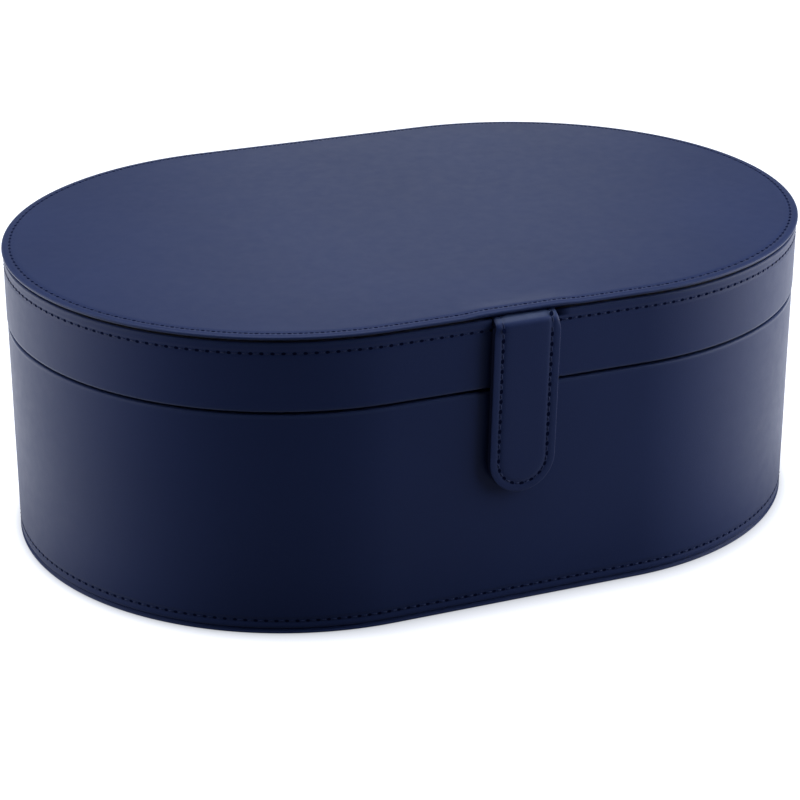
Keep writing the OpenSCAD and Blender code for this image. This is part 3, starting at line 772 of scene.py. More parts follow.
def strap_point(across, along, out):
    """A point on the strap: across its width, along it from its root, and out from its face."""
    start, y, z, turn, radius = [run for run in STRAP_RUN if run[0] <= along + 1e-9][-1]
    y, z, turn = follow(y, z, turn, radius, along - start)
    y -= out * math.sin(turn)
    z += out * math.cos(turn)
    return Vector((TAB_X + across + TAB_LEAN * (z - TAB_LEAN_Z), y, z))


def strap_stations():
    """Stations round the tongue's edge as (along, turn): down one side, round the end and back up."""
    side = [BEND_START * i / 3 for i in range(3)]
    side += [BEND_START + (BEND_END - BEND_START) * i / 18 for i in range(18)]
    side += [BEND_END + (ROUND_START - BEND_END) * i / 34 for i in range(34)]
    made = [(along, math.pi) for along in side]
    made += [(ROUND_START, math.pi * (1 - i / 36)) for i in range(37)]
    made += [(along, 0.0) for along in reversed(side)]
    return made


def strap_front():
    """The strap and the tab's front in one turned skin, with a raised margin outside its stitching."""
    work = bmesh.new()
    wear_and_sheen = work.verts.layers.float.new("edge_wear_and_bend_sheen")
    face = [(TAB_HALF, 0.05), (9.5, 0.06), (7.0, 0.07), (5.4, 0.06), (TAB_ROW + 1.4, 0.03),
            (TAB_ROW + 0.9, -0.03), (TAB_ROW + 0.55, -0.12), (TAB_ROW, -TAB_ROW_DEPTH),
            (TAB_ROW - 0.5, -0.12), (TAB_ROW - 0.8, -0.05), (1.5, -0.03), (1.0, -0.03), (0.4, -0.04)]
    face += [(0.16 - 0.16 * math.sin(t), -0.05 - 0.2 * (1 - math.cos(t)))
             for t in (math.pi / 2 * i / 4 for i in range(1, 5))]
    # The cut edge's faces take the edge paint, near black as painted shade on the strap's sides.
    painted = range(len(face) - 2, len(face) + 2)
    back = [(0.0, 0.3), (0.1, 0.1), (0.3, 0.0), (1.2, 0.0), (2.2, 0.0)]
    inside = (2.25, 6.0, TAB_HALF)
    rows = []
    for along, turn in strap_stations():
        # Where the strap turns down it draws in, its margins curl under and its face gets a painted
        # highlight.
        bent = ramp(along - BEND_START + 2.0, 2.0) * (1 - ramp(along - BEND_END + 1.5, 4.5))
        bend_highlight = 0.72 * ramp(along - BEND_START, 1.2) * (1 - ramp(along - BEND_START - 1.3, 3.5))
        thick = STRAP_THICK + (TAB_BACK_FACE - STRAP_THICK) * ramp(along - 8, 5)
        hollow = -0.95 if along > BEND_END + 3 else -thick
        section = [(inset, out, bend_highlight * (0.6 + 0.4 * ramp(inset - 1.5, 2.5))) for inset, out in face]
        section += [(inset, rise - thick, 0) for inset, rise in back]
        section += [(inset, hollow, 0) for inset in inside]
        row = []
        for inset, out, worn_and_lit in section:
            curl = bent * max(0.0, 1 - inset / CURL_WIDTH) ** 2
            reach = TAB_HALF - inset - CURL_DRAW * curl
            across = reach * math.cos(turn)
            run = along + (reach * math.sin(turn) if along >= ROUND_START else 0)
            soft = 0.05 * noise.noise(Vector((across, run, 7)) / 9) if out > -0.5 else 0
            vert = work.verts.new(strap_point(across, run, out + soft - CURL_DROP * curl) * MM)
            vert[wear_and_sheen] = worn_and_lit
            row.append(vert)
        rows.append(row)
    for column, quad in join_rows(work, rows, range(len(rows[0]) - 1)):
        quad.material_index = 1 if column in painted else 0
    close_up(work, fill=True)
    return mesh_object("tab_front", work)


def bends_with_the_tab(obj, materials, slot, *stands_for):
    """Gives a piece that runs from the lid over the strap's turn onto the tab its finishes in place, and
    hides the frame's nodes it stands for.
    """
    for material in materials:
        obj.data.materials.append(material)
    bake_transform(obj)
    if stands_for:
        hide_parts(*stands_for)
    return obj


bends_with_the_tab(strap_front(), (LEATHER, EDGE_PAINT_AND_SHADE), "navy_leather", "tab_strap_root",
                   "tab_front_leather")
tab_back = eased_copy("tab_back", "tab_back_leather", 0.28, 3)
for tab_vert in tab_back.data.vertices:
    tab_vert.co.x += (TAB_X - TAB_CORE_X) * MM + TAB_LEAN * (tab_vert.co.z - TAB_LEAN_Z * MM)
finish_piece(tab_back, LEATHER, "tab", "navy_leather", "tab_back_leather")
# Its sides take the same edge paint, near black as painted shade beside the tab.
tab_back.data.materials.append(EDGE_PAINT_AND_SHADE)
for tab_face in tab_back.data.polygons:
    tab_face.material_index = 1 if abs(tab_face.normal.y) < 0.5 else 0


# --- Stitching ---


def stitch_tree():
    """Sews along each line: a thread that arches from hole to hole, and a needle hole between threads."""
    tree = bpy.data.node_groups.new("sewn_row", "GeometryNodeTree")
    tree.is_modifier = True
    face = tree.interface
    face.new_socket("Lines", in_out="INPUT", socket_type="NodeSocketGeometry")
    for label, value in (("Pitch", 3.6), ("Thread length", 2.1), ("Thread radius", 0.25), ("Rise", 0.05),
                         ("Sink", 0.45), ("Hole length", 1.5), ("Hole width", 1.2), ("Slant", 0.1)):
        socket = face.new_socket(label, in_out="INPUT", socket_type="NodeSocketFloat")
        socket.default_value = value * MM
    face.new_socket("Thread", in_out="INPUT", socket_type="NodeSocketMaterial")
    face.new_socket("Hole", in_out="INPUT", socket_type="NodeSocketMaterial")
    face.new_socket("Sewn", in_out="OUTPUT", socket_type="NodeSocketGeometry")
    given = add(tree, "NodeGroupInput").outputs

    # Each stitch stands at a pitch along the line, with X along it and Z out of the leather.
    line = add(tree, "GeometryNodeMeshToCurve", {"Mesh": given["Lines"]})
    paced = add(tree, "GeometryNodeResampleCurve", {"Curve": line, "Length": given["Pitch"]}, mode="LENGTH")
    out = add(tree, "GeometryNodeInputNamedAttribute", {"Name": "face_out"}, data_type="FLOAT_VECTOR")
    tangent = add(tree, "GeometryNodeInputTangent")
    along = add(tree, "FunctionNodeAlignEulerToVector", {"Vector": tangent}, axis="X")
    upright = add(tree, "FunctionNodeAlignEulerToVector", {"Rotation": along, "Vector": out},
                  axis="Z", pivot_axis="X")

    # A thread arches between two points below the face, a little aslant.
    half = add(tree, "ShaderNodeMath", {0: given["Thread length"], 1: 0.5}, operation="MULTIPLY")
    minus = add(tree, "ShaderNodeMath", {0: half, 1: -1.0}, operation="MULTIPLY")
    down = add(tree, "ShaderNodeMath", {0: given["Sink"], 1: -1.0}, operation="MULTIPLY")
    lean = add(tree, "ShaderNodeMath", {0: given["Slant"], 1: -1.0}, operation="MULTIPLY")
    peak = add(tree, "ShaderNodeMath", {0: given["Rise"], 1: 2.0, 2: given["Sink"]},
               operation="MULTIPLY_ADD")
    arch = add(tree, "GeometryNodeCurveQuadraticBezier", {
        "Resolution": 7,
        "Start": add(tree, "ShaderNodeCombineXYZ", {0: minus, 1: lean, 2: down}),
        "Middle": add(tree, "ShaderNodeCombineXYZ", {2: peak}),
        "End": add(tree, "ShaderNodeCombineXYZ", {0: half, 1: given["Slant"], 2: down})})
    share = add(tree, "GeometryNodeSplineParameter").outputs["Factor"]
    marked = add(tree, "GeometryNodeStoreNamedAttribute",
                 {"Geometry": arch, "Name": "thread_run", "Value": share},
                 data_type="FLOAT", domain="POINT")
    ring = add(tree, "GeometryNodeCurvePrimitiveCircle", {"Resolution": 7, "Radius": given["Thread radius"]})
    ply = add(tree, "GeometryNodeCurveToMesh", {"Curve": marked, "Profile Curve": ring, "Fill Caps": True})
    smooth = add(tree, "GeometryNodeSetShadeSmooth", {"Geometry": ply})

    # A hole is a dark plug of painted shade, 0.3 mm deep, with its top just proud of the groove.
    plug = add(tree, "GeometryNodeMeshCylinder", {"Vertices": 12, "Radius": 0.5, "Depth": 0.3 * MM},
               fill_type="NGON")
    shift = add(tree, "ShaderNodeMath", {0: given["Pitch"], 1: 0.5}, operation="MULTIPLY")
    size = add(tree, "ShaderNodeCombineXYZ", {0: given["Hole length"], 1: given["Hole width"], 2: 1.0})
    sunk = add(tree, "ShaderNodeCombineXYZ", {0: shift, 2: -0.1 * MM})
    oval = add(tree, "GeometryNodeTransform", {"Geometry": plug, "Scale": size, "Translation": sunk})

    both = add(tree, "GeometryNodeJoinGeometry")
    for shape, finish in ((smooth, "Thread"), (oval, "Hole")):
        placed = add(tree, "GeometryNodeInstanceOnPoints", {"Points": paced, "Instance": shape,
                                                            "Rotation": upright})
        real = add(tree, "GeometryNodeRealizeInstances", {"Geometry": placed})
        finished = add(tree, "GeometryNodeSetMaterial", {"Geometry": real, "Material": given[finish]})
        tree.links.new(finished.outputs[0], both.inputs[0])
    add(tree, "NodeGroupOutput", {"Sewn": both})
    return tree


SEWN_ROW = stitch_tree()


def sew(name, lines, pitch=WALL_PITCH, hole=(1.45, 1.0)):
    """Sews every line of (points, outward directions, closed) and returns one plain mesh."""
    work = bmesh.new()
    out = work.verts.layers.float_vector.new("face_out")
    for points, directions, closed in lines:
        row = []
        for place, way in zip(points, directions):
            vert = work.verts.new(Vector(place) * MM)
            vert[out] = Vector(way)
            row.append(vert)
        for i in range(len(row) if closed else len(row) - 1):
            work.edges.new((row[i], row[(i + 1) % len(row)]))
    made = mesh_object(name, work)
    sewing = made.modifiers.new("sewing", "NODES")
    sewing.node_group = SEWN_ROW
    wanted = {"Pitch": pitch * MM, "Hole length": hole[0] * MM, "Hole width": hole[1] * MM,
              "Thread": THREAD, "Hole": PAINTED_HOLE_SHADE}
    for item in SEWN_ROW.interface.items_tree:
        if item.item_type == "SOCKET" and item.in_out == "INPUT" and item.name in wanted:
            sewing[item.identifier] = wanted[item.name]
    return apply_modifiers(made)


def plan_line(inset, height, way, half=HALF_STRAIGHT, radius=PLAN_R, skip=None):
    """A line of stitching round the plan: way 0 faces outwards, 1 up and -1 down.

    A skip is the stretch of x along the front that the line leaves out.
    """
    places, outs = [], []
    round_plan = stations(half, 90, 20)
    if skip:
        first = next(i for i, s in enumerate(round_plan) if i > len(round_plan) // 2 and s[0] > skip[1])
        round_plan = round_plan[first:] + round_plan[:first]
    r = radius - inset
    for foot, nx, ny in round_plan:
        if skip and ny < -0.99 and skip[0] < foot < skip[1]:
            continue
        rise = strap_rise(foot + r * nx, r * ny, inset) if way == 1 else 0
        places.append((foot + r * nx, r * ny, height + rise))
        outs.append((nx, ny, 0) if way == 0 else (0, 0, way))
    if skip:
        places = [(skip[1], -r, height)] + places + [(skip[0], -r, height)]
        outs = [(0, -1, 0)] + outs + [(0, -1, 0)]
    return places, outs, not skip


def tab_line():
    """The tab's row of stitching: down one side, round the end and back up over the bend."""
    places, outs = [], []
    start = BEND_START + 0.67
    reach = TAB_HALF - TAB_ROW
    side = [start + (ROUND_START - start) * i / 60 for i in range(60)]
    route = [(-reach, along) for along in side]
    route += [(-reach * math.cos(math.pi * i / 30), ROUND_START + reach * math.sin(math.pi * i / 30))
              for i in range(31)]
    route += [(reach, along) for along in reversed(side)]
    for across, along in route:
        low = strap_point(across, along, -TAB_ROW_DEPTH)
        places.append(low)
        outs.append((strap_point(across, along, 0.76) - low).normalized())
    return places, outs, False


lid_stitches = sew("lid_stitches", [
    plan_line(PANEL_ROW, CASE_TOP - PANEL_ROW_DEPTH, 1),
    plan_line(LID_FACE + GROOVE, LID_ROW, 0, skip=(TAB_X - STRAP_GAP, TAB_X + STRAP_GAP)),
    plan_line(0.0, SURROUND_FACE + SURROUND_ROW_DEPTH, -1, half=MIRROR_HALF, radius=SURROUND_ROW_R)])
finish_piece(lid_stitches, None, "lid", "navy_leather")

body_stitches = sew("body_stitches", [
    plan_line(BODY_FACE + GROOVE, BODY_ROW, 0),
    plan_line(PANEL_ROW, PANEL_ROW_DEPTH - MARGIN_DEPTH, -1)])
finish_piece(body_stitches, None, "body", "navy_leather")

tab_stitches = sew("tab_stitches", [tab_line()], pitch=TAB_PITCH, hole=(1.65, 1.3))
bends_with_the_tab(tab_stitches, (), "navy_leather")


# --- Linings and padding ---

collar_profile = (
    wall_points(COLLAR_FACE, BASE_TOP, 40, 86.8)
    + arc_points(COLLAR_FACE - 0.9, COLLAR_TOP - 0.9, 0.9, 180, 90, 5)
    + arc_points(BODY_BOARD_BACK + 0.8, COLLAR_TOP - 0.8, 0.8, 90, 0, 5)
    + wall_points(BODY_BOARD_BACK, 84, 78)
    + wall_points(COLLAR_BOARD_OUT, 78, 87.2)
    + wall_points(COLLAR_BOARD_IN, 87.2, 40, BASE_TOP))
collar_cover = swept("collar_cover", collar_profile, ripple=0.05)
cut_away(collar_cover, hinge_openings(BARREL_HALF, front=80, low=LEAF_LOW, high=92))
finish_piece(collar_cover, VELVET, "body", "velvet", "collar_lining")
# The hoop's outer face shows in the seam, so it is wrapped in the walls' leather.
collar_cover.data.materials.append(LEATHER)
for collar_face in collar_cover.data.polygons:
    middle = collar_face.center
    foot = max(-HALF_STRAIGHT * MM, min(HALF_STRAIGHT * MM, middle.x))
    if collar_face.normal.dot(Vector((middle.x - foot, middle.y, 0)).normalized()) > 0.6:
        collar_face.material_index = 1

lid_lining_profile = (
    arc_points(LID_LINING_FACE - 0.35, LID_RIM + 0.35, 0.35, 180, 270, 3)
    + wall_points(LID_BOARD_BACK, LID_RIM, 95, PANEL_UNDER)
    + wall_points(LID_LINING_FACE, PANEL_UNDER, 104, 95))
lid_wall_lining = swept("lid_wall_lining", lid_lining_profile, ripple=0.04)
cut_away(lid_wall_lining, [
    *hinge_openings(LEAF_HALF, LEAF_FRONT, low=80, high=LEAF_HIGH),
    (TAB_X - TAB_HALF, TAB_X + TAB_HALF, *STRAP_OPENING)])
finish_piece(lid_wall_lining, VELVET, "lid", "velvet", "lid_lining")


def floor_crown(x, y, inset, z):
    """The floor pad's swell between the walls and the dividers that stand on it."""
    if z < FLOOR_TOP - 0.5:
        return 0
    divider_half, divider_x = 1.6, 51.5
    rise = (ramp(inset - COLLAR_FACE, 9) * ramp(abs(abs(x) - divider_x) - divider_half, 9)
            * ramp(abs(y) - divider_half, 9))
    return PAD_SWELL * rise * (1 + 0.25 * noise.noise(Vector((x, y, 3)) / 22))


def lid_crown(x, y, inset, z):
    """The lid pad's swell between the lid's lining and the mirror's frame."""
    if z > 104:
        return 0
    beyond_frame = math.hypot(max(0, abs(x) - MIRROR_HALF), y) - SURROUND_R
    rise = ramp(inset - LID_LINING_FACE, 8) * ramp(beyond_frame, 8)
    return -PAD_SWELL * rise * (1 + 0.25 * noise.noise(Vector((x, y, 9)) / 22))


floor_profile = (
    [(PLAN_R - 3.2 * i, FLOOR_TOP, 0) for i in range(29)]
    + [(9.2, FLOOR_TOP, 0), (8.4, FLOOR_TOP, 0)]
    + arc_points(FLOOR_PAD_EDGE + 0.6, FLOOR_TOP - 0.6, 0.6, 90, 0, 3)
    + [(FLOOR_PAD_EDGE, BASE_TOP, 0), (PLAN_R, BASE_TOP, 0)])
floor_cushion = swept("floor_cushion", floor_profile, arc_steps=72, straight_steps=30, lift=floor_crown)
finish_piece(floor_cushion, VELVET, "body", "velvet", "floor_pad")

lid_cushion_profile = (
    [(PLAN_R - 3.2 * i, LID_PAD_FACE, 0) for i in range(30)]
    + [(6.4, LID_PAD_FACE, 0), (5.4, LID_PAD_FACE, 0)]
    + arc_points(LID_PAD_EDGE + 0.6, LID_PAD_FACE + 0.6, 0.6, 270, 360, 3)
    + [(LID_PAD_EDGE, LID_BOARD_UNDER, 0), (PLAN_R, LID_BOARD_UNDER, 0)])
lid_cushion = swept("lid_cushion", lid_cushion_profile, arc_steps=72, straight_steps=30, lift=lid_crown)
finish_piece(lid_cushion, VELVET, "lid", "velvet", "lid_pad")


# --- Mirror ---

# The plate's profile as (radius, height), with a bevel 6 mm wide.
mirror_profile = [
    (MIRROR_R - 0.2, LID_PAD_FACE), (MIRROR_R, LID_PAD_FACE - 0.2), (MIRROR_R, 102.3), (54.9, 102.15),
    (49.2, 101.42), (49.0, MIRROR_FACE), (30.0, MIRROR_FACE), (0.0, MIRROR_FACE), (0.0, LID_PAD_FACE),
    (30.0, LID_PAD_FACE)]
mirror_plate = swept("mirror_plate", [(MIRROR_R - r, z, 0) for r, z in mirror_profile],
                     half=MIRROR_HALF, radius=MIRROR_R, arc_steps=64)
mirror_work = bmesh.new()
mirror_work.from_mesh(mirror_plate.data)
for mirror_edge in mirror_work.edges:
    if len(mirror_edge.link_faces) == 2 and mirror_edge.calc_face_angle() > math.radians(4):
        mirror_edge.smooth = False
mirror_work.to_mesh(mirror_plate.data)
mirror_work.free()
finish_piece(mirror_plate, MIRROR, "lid", "mirror_glass", "mirror_glass")

# The surround's profile as (radius, height, wear), with a groove for its stitching.
surround_profile = (
    [(55.1, LID_PAD_FACE, 0), (SURROUND_R - 0.3, LID_PAD_FACE, 0), (SURROUND_R, 103.1, 0)]
    + [(r, z, 0.3) for r, z in ((SURROUND_R, 101.7), (62.9, 101.2), (62.6, 100.85), (62.1, 100.65))]
    + [(61.4, SURROUND_FACE, 0), (61.1, 100.65, 0), (60.8, 100.78, 0), (60.6, 100.8, 0), (60.4, 100.78, 0),
       (60.1, 100.65, 0), (59.8, SURROUND_FACE, 0), (57.0, 100.58, 0), (54.6, SURROUND_FACE, 0)]
    + [(r, z, 0.3) for r, z in ((54.0, 100.68), (53.65, 100.9), (53.5, 101.2))]
    + [(53.55, 101.38, 0), (55.1, MIRROR_FACE, 0)])
mirror_surround = swept("mirror_surround", [(SURROUND_R - r, z, worn_and_lit) for r, z, worn_and_lit in surround_profile],
                        half=MIRROR_HALF, radius=SURROUND_R, arc_steps=64, ripple=0.04)
finish_piece(mirror_surround, LEATHER, "lid", "navy_leather", "mirror_frame")


# --- Tray ---

tray_shell_profile = (
    [(PLAN_R, TRAY_BOARD_TOP, 0), (60, TRAY_BOARD_TOP, 0)]
    + wall_points(TRAY_BOARD_BACK, TRAY_BOARD_TOP, TRAY_WALL_TOP)
    + wall_points(TRAY_OUTSIDE, TRAY_WALL_TOP)
    + arc_points(TRAY_OUTSIDE + 0.7, TRAY_TOP - 0.7, 0.7, 0, 90, 4)
    + arc_points(TRAY_FACE - 0.7, TRAY_TOP - 0.7, 0.7, 90, 180, 4)
    + wall_points(TRAY_FACE, 66, 52.6)
    + [(TRAY_FACE + 1.5 - 1.5 * math.cos(t), TRAY_FLOOR + 1.5 - 1.5 * math.sin(t), 0)
       for t in (math.pi / 2 * i / 4 for i in range(1, 5))]
    + [(inset, TRAY_FLOOR, 0) for inset in (18, 40, 70, PLAN_R)])
tray_shell = swept("tray_shell_lining", tray_shell_profile, ripple=0.04)
finish_piece(tray_shell, VELVET, "tray", "velvet", "tray_lining")

tray_outside_profile = (
    wall_points(TRAY_BOARD_BACK, TRAY_WALL_TOP, TRAY_BOARD_TOP)
    + wall_points(TRAY_OUTSIDE + 0.3, TRAY_BOARD_TOP)
    + arc_points(TRAY_OUTSIDE + 0.3, TRAY_BOARD_TOP + 0.3, 0.3, -90, 0, 2)
    + wall_run(TRAY_OUTSIDE, 52, 77.5, 6)
    + wall_points(TRAY_OUTSIDE, TRAY_WALL_TOP))
tray_outside = swept("tray_outside", tray_outside_profile, ripple=0.04)
finish_piece(tray_outside, VELVET_DEEP, "tray", "velvet", "tray_wall_board")

for divider_node, divider_body in (
        ("lower_divider_long", "body"), ("lower_divider_left", "body"), ("lower_divider_right", "body"),
        ("tray_divider_left", "tray"), ("tray_divider_right", "tray"), ("tray_divider_middle", "tray"),
        ("tray_divider_end_left", "tray"), ("tray_divider_end_right", "tray"),
        ("tray_divider_back_left", "tray"), ("tray_divider_back_right", "tray")):
    covered = eased_copy(divider_node + "_covered", divider_node, 0.9, 4, 50)
    finish_piece(covered, VELVET_DEEP, divider_body, "velvet", divider_node)


def ring_roll(index):
    """A velvet covered foam roll: a crowned form that draws in at its ends, over a flat foot."""
    middle_y = ROLL_BACK_Y - (index - 0.5) * ROLL_PITCH
    foot = TRAY_FLOOR
    shoulder = foot + ROLL_TALL - ROLL_HALF
    side = [(-ROLL_HALF + 1.0, foot), (-ROLL_HALF + 0.3, foot + 0.3), (-ROLL_HALF, foot + 1.2)]
    side += [(-ROLL_HALF, foot + 1.2 + (shoulder - foot - 1.2) * i / 5) for i in range(1, 5)]
    crown = [(-ROLL_HALF * math.cos(math.pi * i / 18), shoulder + ROLL_HALF * math.sin(math.pi * i / 18))
             for i in range(19)]
    shape = side + crown + [(-y, z) for y, z in reversed(side)]
    # Rows run along the roll, and the second and third from each end lie close to it.
    count = 44
    ends = {1: 0.7, 2: ROLL_DRAW}
    work = bmesh.new()
    rows = []
    for i in range(count + 1):
        x = -ROLL_END + 2 * ROLL_END * i / count
        from_end = min(i, count - i)
        if from_end in ends:
            x = math.copysign(ROLL_END - ends[from_end], x)
        draw = 1 - 0.16 * (1 - min(1, (ROLL_END - abs(x)) / ROLL_DRAW)) ** 2.2
        row = []
        for y, z in shape:
            # The crown is a little uneven, and sags three times along its length.
            height = (z - foot) / ROLL_TALL
            soft = 0.22 * noise.noise(Vector((x, y + index * 31, z)) / 11) * height
            sag = -0.25 * height * math.sin(math.pi * (x + ROLL_END) / (2 * ROLL_END) * 3 + index) ** 2
            shape_y = middle_y + y * (1 - 0.5 * (1 - draw))
            shape_z = foot + (z - foot) * draw + soft * 0.6 + sag
            row.append(work.verts.new(Vector((x, shape_y, shape_z)) * MM))
        rows.append(row)
    join_rows(work, rows, range(len(shape)))
    close_up(work, fill=True)
    return mesh_object(f"ring_roll_{index}_cushion", work)


for roll_index in range(1, ROLL_COUNT + 1):
    roll = ring_roll(roll_index)
    finish_piece(roll, VELVET, "tray", "velvet", f"ring_roll_{roll_index}")


def ribbon_pull(side_name, side):
    """A folded ribbon that hangs on the tray's round end, with its fold standing above the rim."""
    outer = PLAN_R - TRAY_FACE
    width = 16.0
    fold = [(0.0, 66.0), (0.0, 82.0), (-0.12, 83.0), (0.02, 83.7), (0.5, 84.0), (0.98, 83.7), (1.12, 83.0),
            (1.0, 82.0), (1.0, 66.0), (0.56, 66.0), (0.56, 82.2), (0.5, 83.2), (0.44, 82.2), (0.44, 66.0)]
    reach = math.asin(width / 2 / outer)
    work = bmesh.new()
    rows = []
    for i in range(17):
        turn = -reach + 2 * reach * i / 16
        row = []
        for depth, z in fold:
            r = outer - depth - 0.02
            x = side * (HALF_STRAIGHT + r * math.cos(turn))
            row.append(work.verts.new(Vector((x, r * math.sin(turn), z)) * MM))
        rows.append(row)
    join_rows(work, rows, range(len(fold)))
    close_up(work, fill=True)
    made = mesh_object(f"ribbon_pull_{side_name}", work)
    finish_piece(made, RIBBON, "tray", "ribbon", f"tray_pull_{side_name}")


ribbon_pull("left", -1)
ribbon_pull("right", 1)


# --- Hinges ---

for side_name in ("left", "right"):
    for owner in ("body", "lid"):
        leaf_node = f"{owner}_hinge_leaf_{side_name}"
        leaf = eased_copy(leaf_node + "_brass", leaf_node, 0.16)
        finish_piece(leaf, BRASS, owner, "brass", leaf_node)
    pin = eased_copy(f"hinge_pin_{side_name}_steel", f"hinge_pin_{side_name}", 0.2, 3)
    finish_piece(pin, STEEL, "body", "steel", f"hinge_pin_{side_name}")


def cross_slot(x, y, z):
    """The boxes of a cross slot in a screw's head: one bar across, and one above and below it."""
    reach, half = 0.95, 0.2
    front, back = y - 1, y + 0.42
    return [(x - reach, x + reach, front, back, z - half, z + half),
            (x - half, x + half, front, back, z - reach, z - half),
            (x - half, x + half, front, back, z + half, z + reach)]


for owner, screw_y, screw_z in (("body", 94.95, 70.65), ("lid", 97.95, 94.05)):
    screws = eased_copy(f"{owner}_hinge_screw_set", f"{owner}_hinge_screws", 0.1)
    slots = []
    for side_x in (-HINGE_X, HINGE_X):
        for step in (-SCREW_STEP, SCREW_STEP):
            slots += cross_slot(side_x + step, screw_y, screw_z)
    cut_away(screws, slots)
    finish_piece(screws, STEEL, owner, "steel", f"{owner}_hinge_screws")


# --- Studio, in metres ---

FLOOR_R = 3.0
# Where the case's foot ends, as a distance from the middle line of its plan.
FOOT_EDGE = 0.102


def pale_floor():
    """A pale sweep that meets the background, keeps the case's shadow, paints a contact shadow over it and
    lets the underside be seen.
    """
    work = bmesh.new()
    bmesh.ops.create_circle(work, cap_ends=True, segments=96, radius=FLOOR_R)
    made = mesh_object("studio_floor", work)
    surface = bpy.data.materials.new("matt_white_sweep")
    surface.use_nodes = True
    tree = surface.node_tree
    tree.nodes.clear()

    # How far a point of the floor lies from the plan's middle line, and how much of that is endwards.
    place = add(tree, "ShaderNodeTexCoord").outputs["Object"]
    axes = add(tree, "ShaderNodeSeparateXYZ", {0: place}).outputs
    side = add(tree, "ShaderNodeMath", {0: axes[0]}, operation="ABSOLUTE")
    beyond = add(tree, "ShaderNodeMath", {0: side, 1: HALF_STRAIGHT * MM}, operation="SUBTRACT")
    past = add(tree, "ShaderNodeMath", {0: beyond, 1: 0.0}, operation="MAXIMUM")
    arm = add(tree, "ShaderNodeCombineXYZ", {0: past, 1: axes[1]})
    far = add(tree, "ShaderNodeVectorMath", {0: arm}, operation="LENGTH").outputs["Value"]
    endward = add(tree, "ShaderNodeMath", {0: past, 1: far}, operation="DIVIDE")

    # The camera sees a painted contact shadow, 15 mm wide along the front and narrowing round the ends.
    reach = add(tree, "ShaderNodeMath", {0: endward, 1: -0.010, 2: 0.117}, operation="MULTIPLY_ADD")
    painted_contact_shadow = add(tree, "ShaderNodeMapRange", {"Value": far, "From Min": FOOT_EDGE, "From Max": reach,
                                            "To Min": 0.58, "To Max": 1.27})

    # The leather's shine sees a painted shade on the floor round the case, which the camera sees burnt out.
    # The painted shade is narrow and faint beyond the round ends.
    tip = add(tree, "ShaderNodeMath", {0: endward, 1: 3.0}, operation="POWER")
    depth = add(tree, "ShaderNodeMath", {0: tip, 1: 0.42, 2: 0.08}, operation="MULTIPLY_ADD")
    edge = add(tree, "ShaderNodeMath", {0: tip, 1: -0.035, 2: 0.175}, operation="MULTIPLY_ADD")
    painted_reflected_shade = add(tree, "ShaderNodeMapRange", {"Value": far, "From Min": FOOT_EDGE, "From Max": edge,
                                              "To Min": depth, "To Max": 1.3})

    path = add(tree, "ShaderNodeLightPath").outputs
    level = add(tree, "ShaderNodeMix", {0: path["Is Glossy Ray"], 2: painted_contact_shadow, 3: painted_reflected_shade})
    matt = add(tree, "ShaderNodeBsdfDiffuse", {"Color": (0.18, 0.185, 0.2, 1)})
    lit = add(tree, "ShaderNodeEmission", {"Color": (0.90, 0.93, 1.0, 1), "Strength": level})
    seen = add(tree, "ShaderNodeAddShader", {0: matt, 1: lit})
    dim = add(tree, "ShaderNodeBsdfDiffuse", {"Color": (0.06, 0.06, 0.065, 1)})
    look = add(tree, "ShaderNodeMath", {0: path["Is Camera Ray"], 1: path["Is Glossy Ray"]},
               operation="MAXIMUM")
    look = add(tree, "ShaderNodeMath", {0: look, 1: path["Is Transmission Ray"]}, operation="MAXIMUM")
    top_side = add(tree, "ShaderNodeMixShader", {0: look, 1: dim, 2: seen})
    under = add(tree, "ShaderNodeNewGeometry").outputs["Backfacing"]
    clear = add(tree, "ShaderNodeBsdfTransparent")
    whole = add(tree, "ShaderNodeMixShader", {0: under, 1: top_side, 2: clear})
    add(tree, "ShaderNodeOutputMaterial", {"Surface": whole})
    made.data.materials.append(surface)


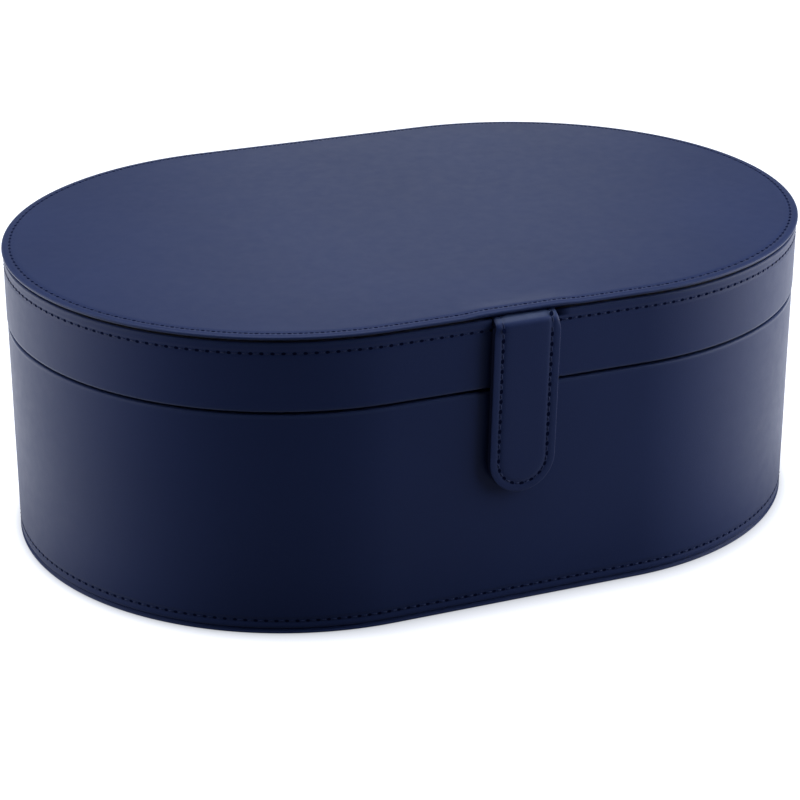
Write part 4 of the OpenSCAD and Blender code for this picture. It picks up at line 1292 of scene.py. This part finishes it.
def studio_air():
    """A white background for the camera, a dim one for reflections, and hardly any light from it."""
    world = bpy.data.worlds.new("studio_air")
    bpy.context.scene.world = world
    world.use_nodes = True
    tree = world.node_tree
    tree.nodes.clear()
    path = add(tree, "ShaderNodeLightPath").outputs
    clear = add(tree, "ShaderNodeMath", {0: path["Is Camera Ray"], 1: path["Is Transmission Ray"]},
                operation="MAXIMUM")
    shine = spread(tree, path["Is Glossy Ray"], 0.01, 0.255)
    level = add(tree, "ShaderNodeMath", {0: clear, 1: shine}, operation="MAXIMUM")
    tint = blend_colour(tree, clear, (0.92, 0.98, 1.0, 1), (1, 1, 1, 1))
    back = add(tree, "ShaderNodeBackground", {"Color": tint, "Strength": level})
    add(tree, "ShaderNodeOutputWorld", {"Surface": back})


VIEW_AZIMUTH = math.radians(-22.87)
RIGHTWARDS = Vector((math.cos(VIEW_AZIMUTH), math.sin(VIEW_AZIMUTH), 0))
BACKWARDS = Vector((-math.sin(VIEW_AZIMUTH), math.cos(VIEW_AZIMUTH), 0))


def softbox(name, right, back, height, width, tall, level, aim):
    """A large soft lamp, placed by how far it stands to the right of and behind the case."""
    lamp = bpy.data.lights.new(name, "AREA")
    lamp.shape = "RECTANGLE"
    lamp.size = width
    lamp.size_y = tall
    lamp.energy = level * width * tall * math.pi
    lamp.color = (0.94, 0.98, 1.0) if back > 1 else (1, 1, 1)
    made = bpy.data.objects.new(name, lamp)
    bpy.context.scene.collection.objects.link(made)
    made.location = RIGHTWARDS * right + BACKWARDS * back + Vector((0, 0, height))
    way = Vector(aim) - made.location
    made.rotation_euler = way.to_track_quat("-Z", "Y").to_euler()
    made.visible_camera = False
    return made


pale_floor()
studio_air()
softbox("softbox_right", 0.586, -0.036, 0.258, 0.6, 0.7, 4.4, (0, 0, 0.06))
softbox("softbox_left", -0.489, -0.10, 0.198, 0.6, 0.7, 2.45, (0, 0, 0.06))
softbox("softbox_back", 0.0, 1.2, 0.50, 0.42, 0.7, 0.5, (0, 0, 0.1))
top_box = softbox("softbox_top", -0.03, 0.02, 0.70, 0.7, 0.5, 4.15, (0, 0, 0))
top_box.rotation_euler = (0, 0, VIEW_AZIMUTH)

camera = bpy.data.cameras.new("view")
camera.lens = 111.79
camera.sensor_width = 36.0
camera_object = bpy.data.objects.new("view", camera)
bpy.context.scene.collection.objects.link(camera_object)
camera_object.location = (-0.33285, -0.80601, 0.4101)
camera_object.rotation_euler = Vector((0.3484, 0.85045, -0.39414)).to_track_quat("-Z", "Y").to_euler()
bpy.context.scene.camera = camera_object
bpy.context.scene.view_settings.view_transform = "Standard"
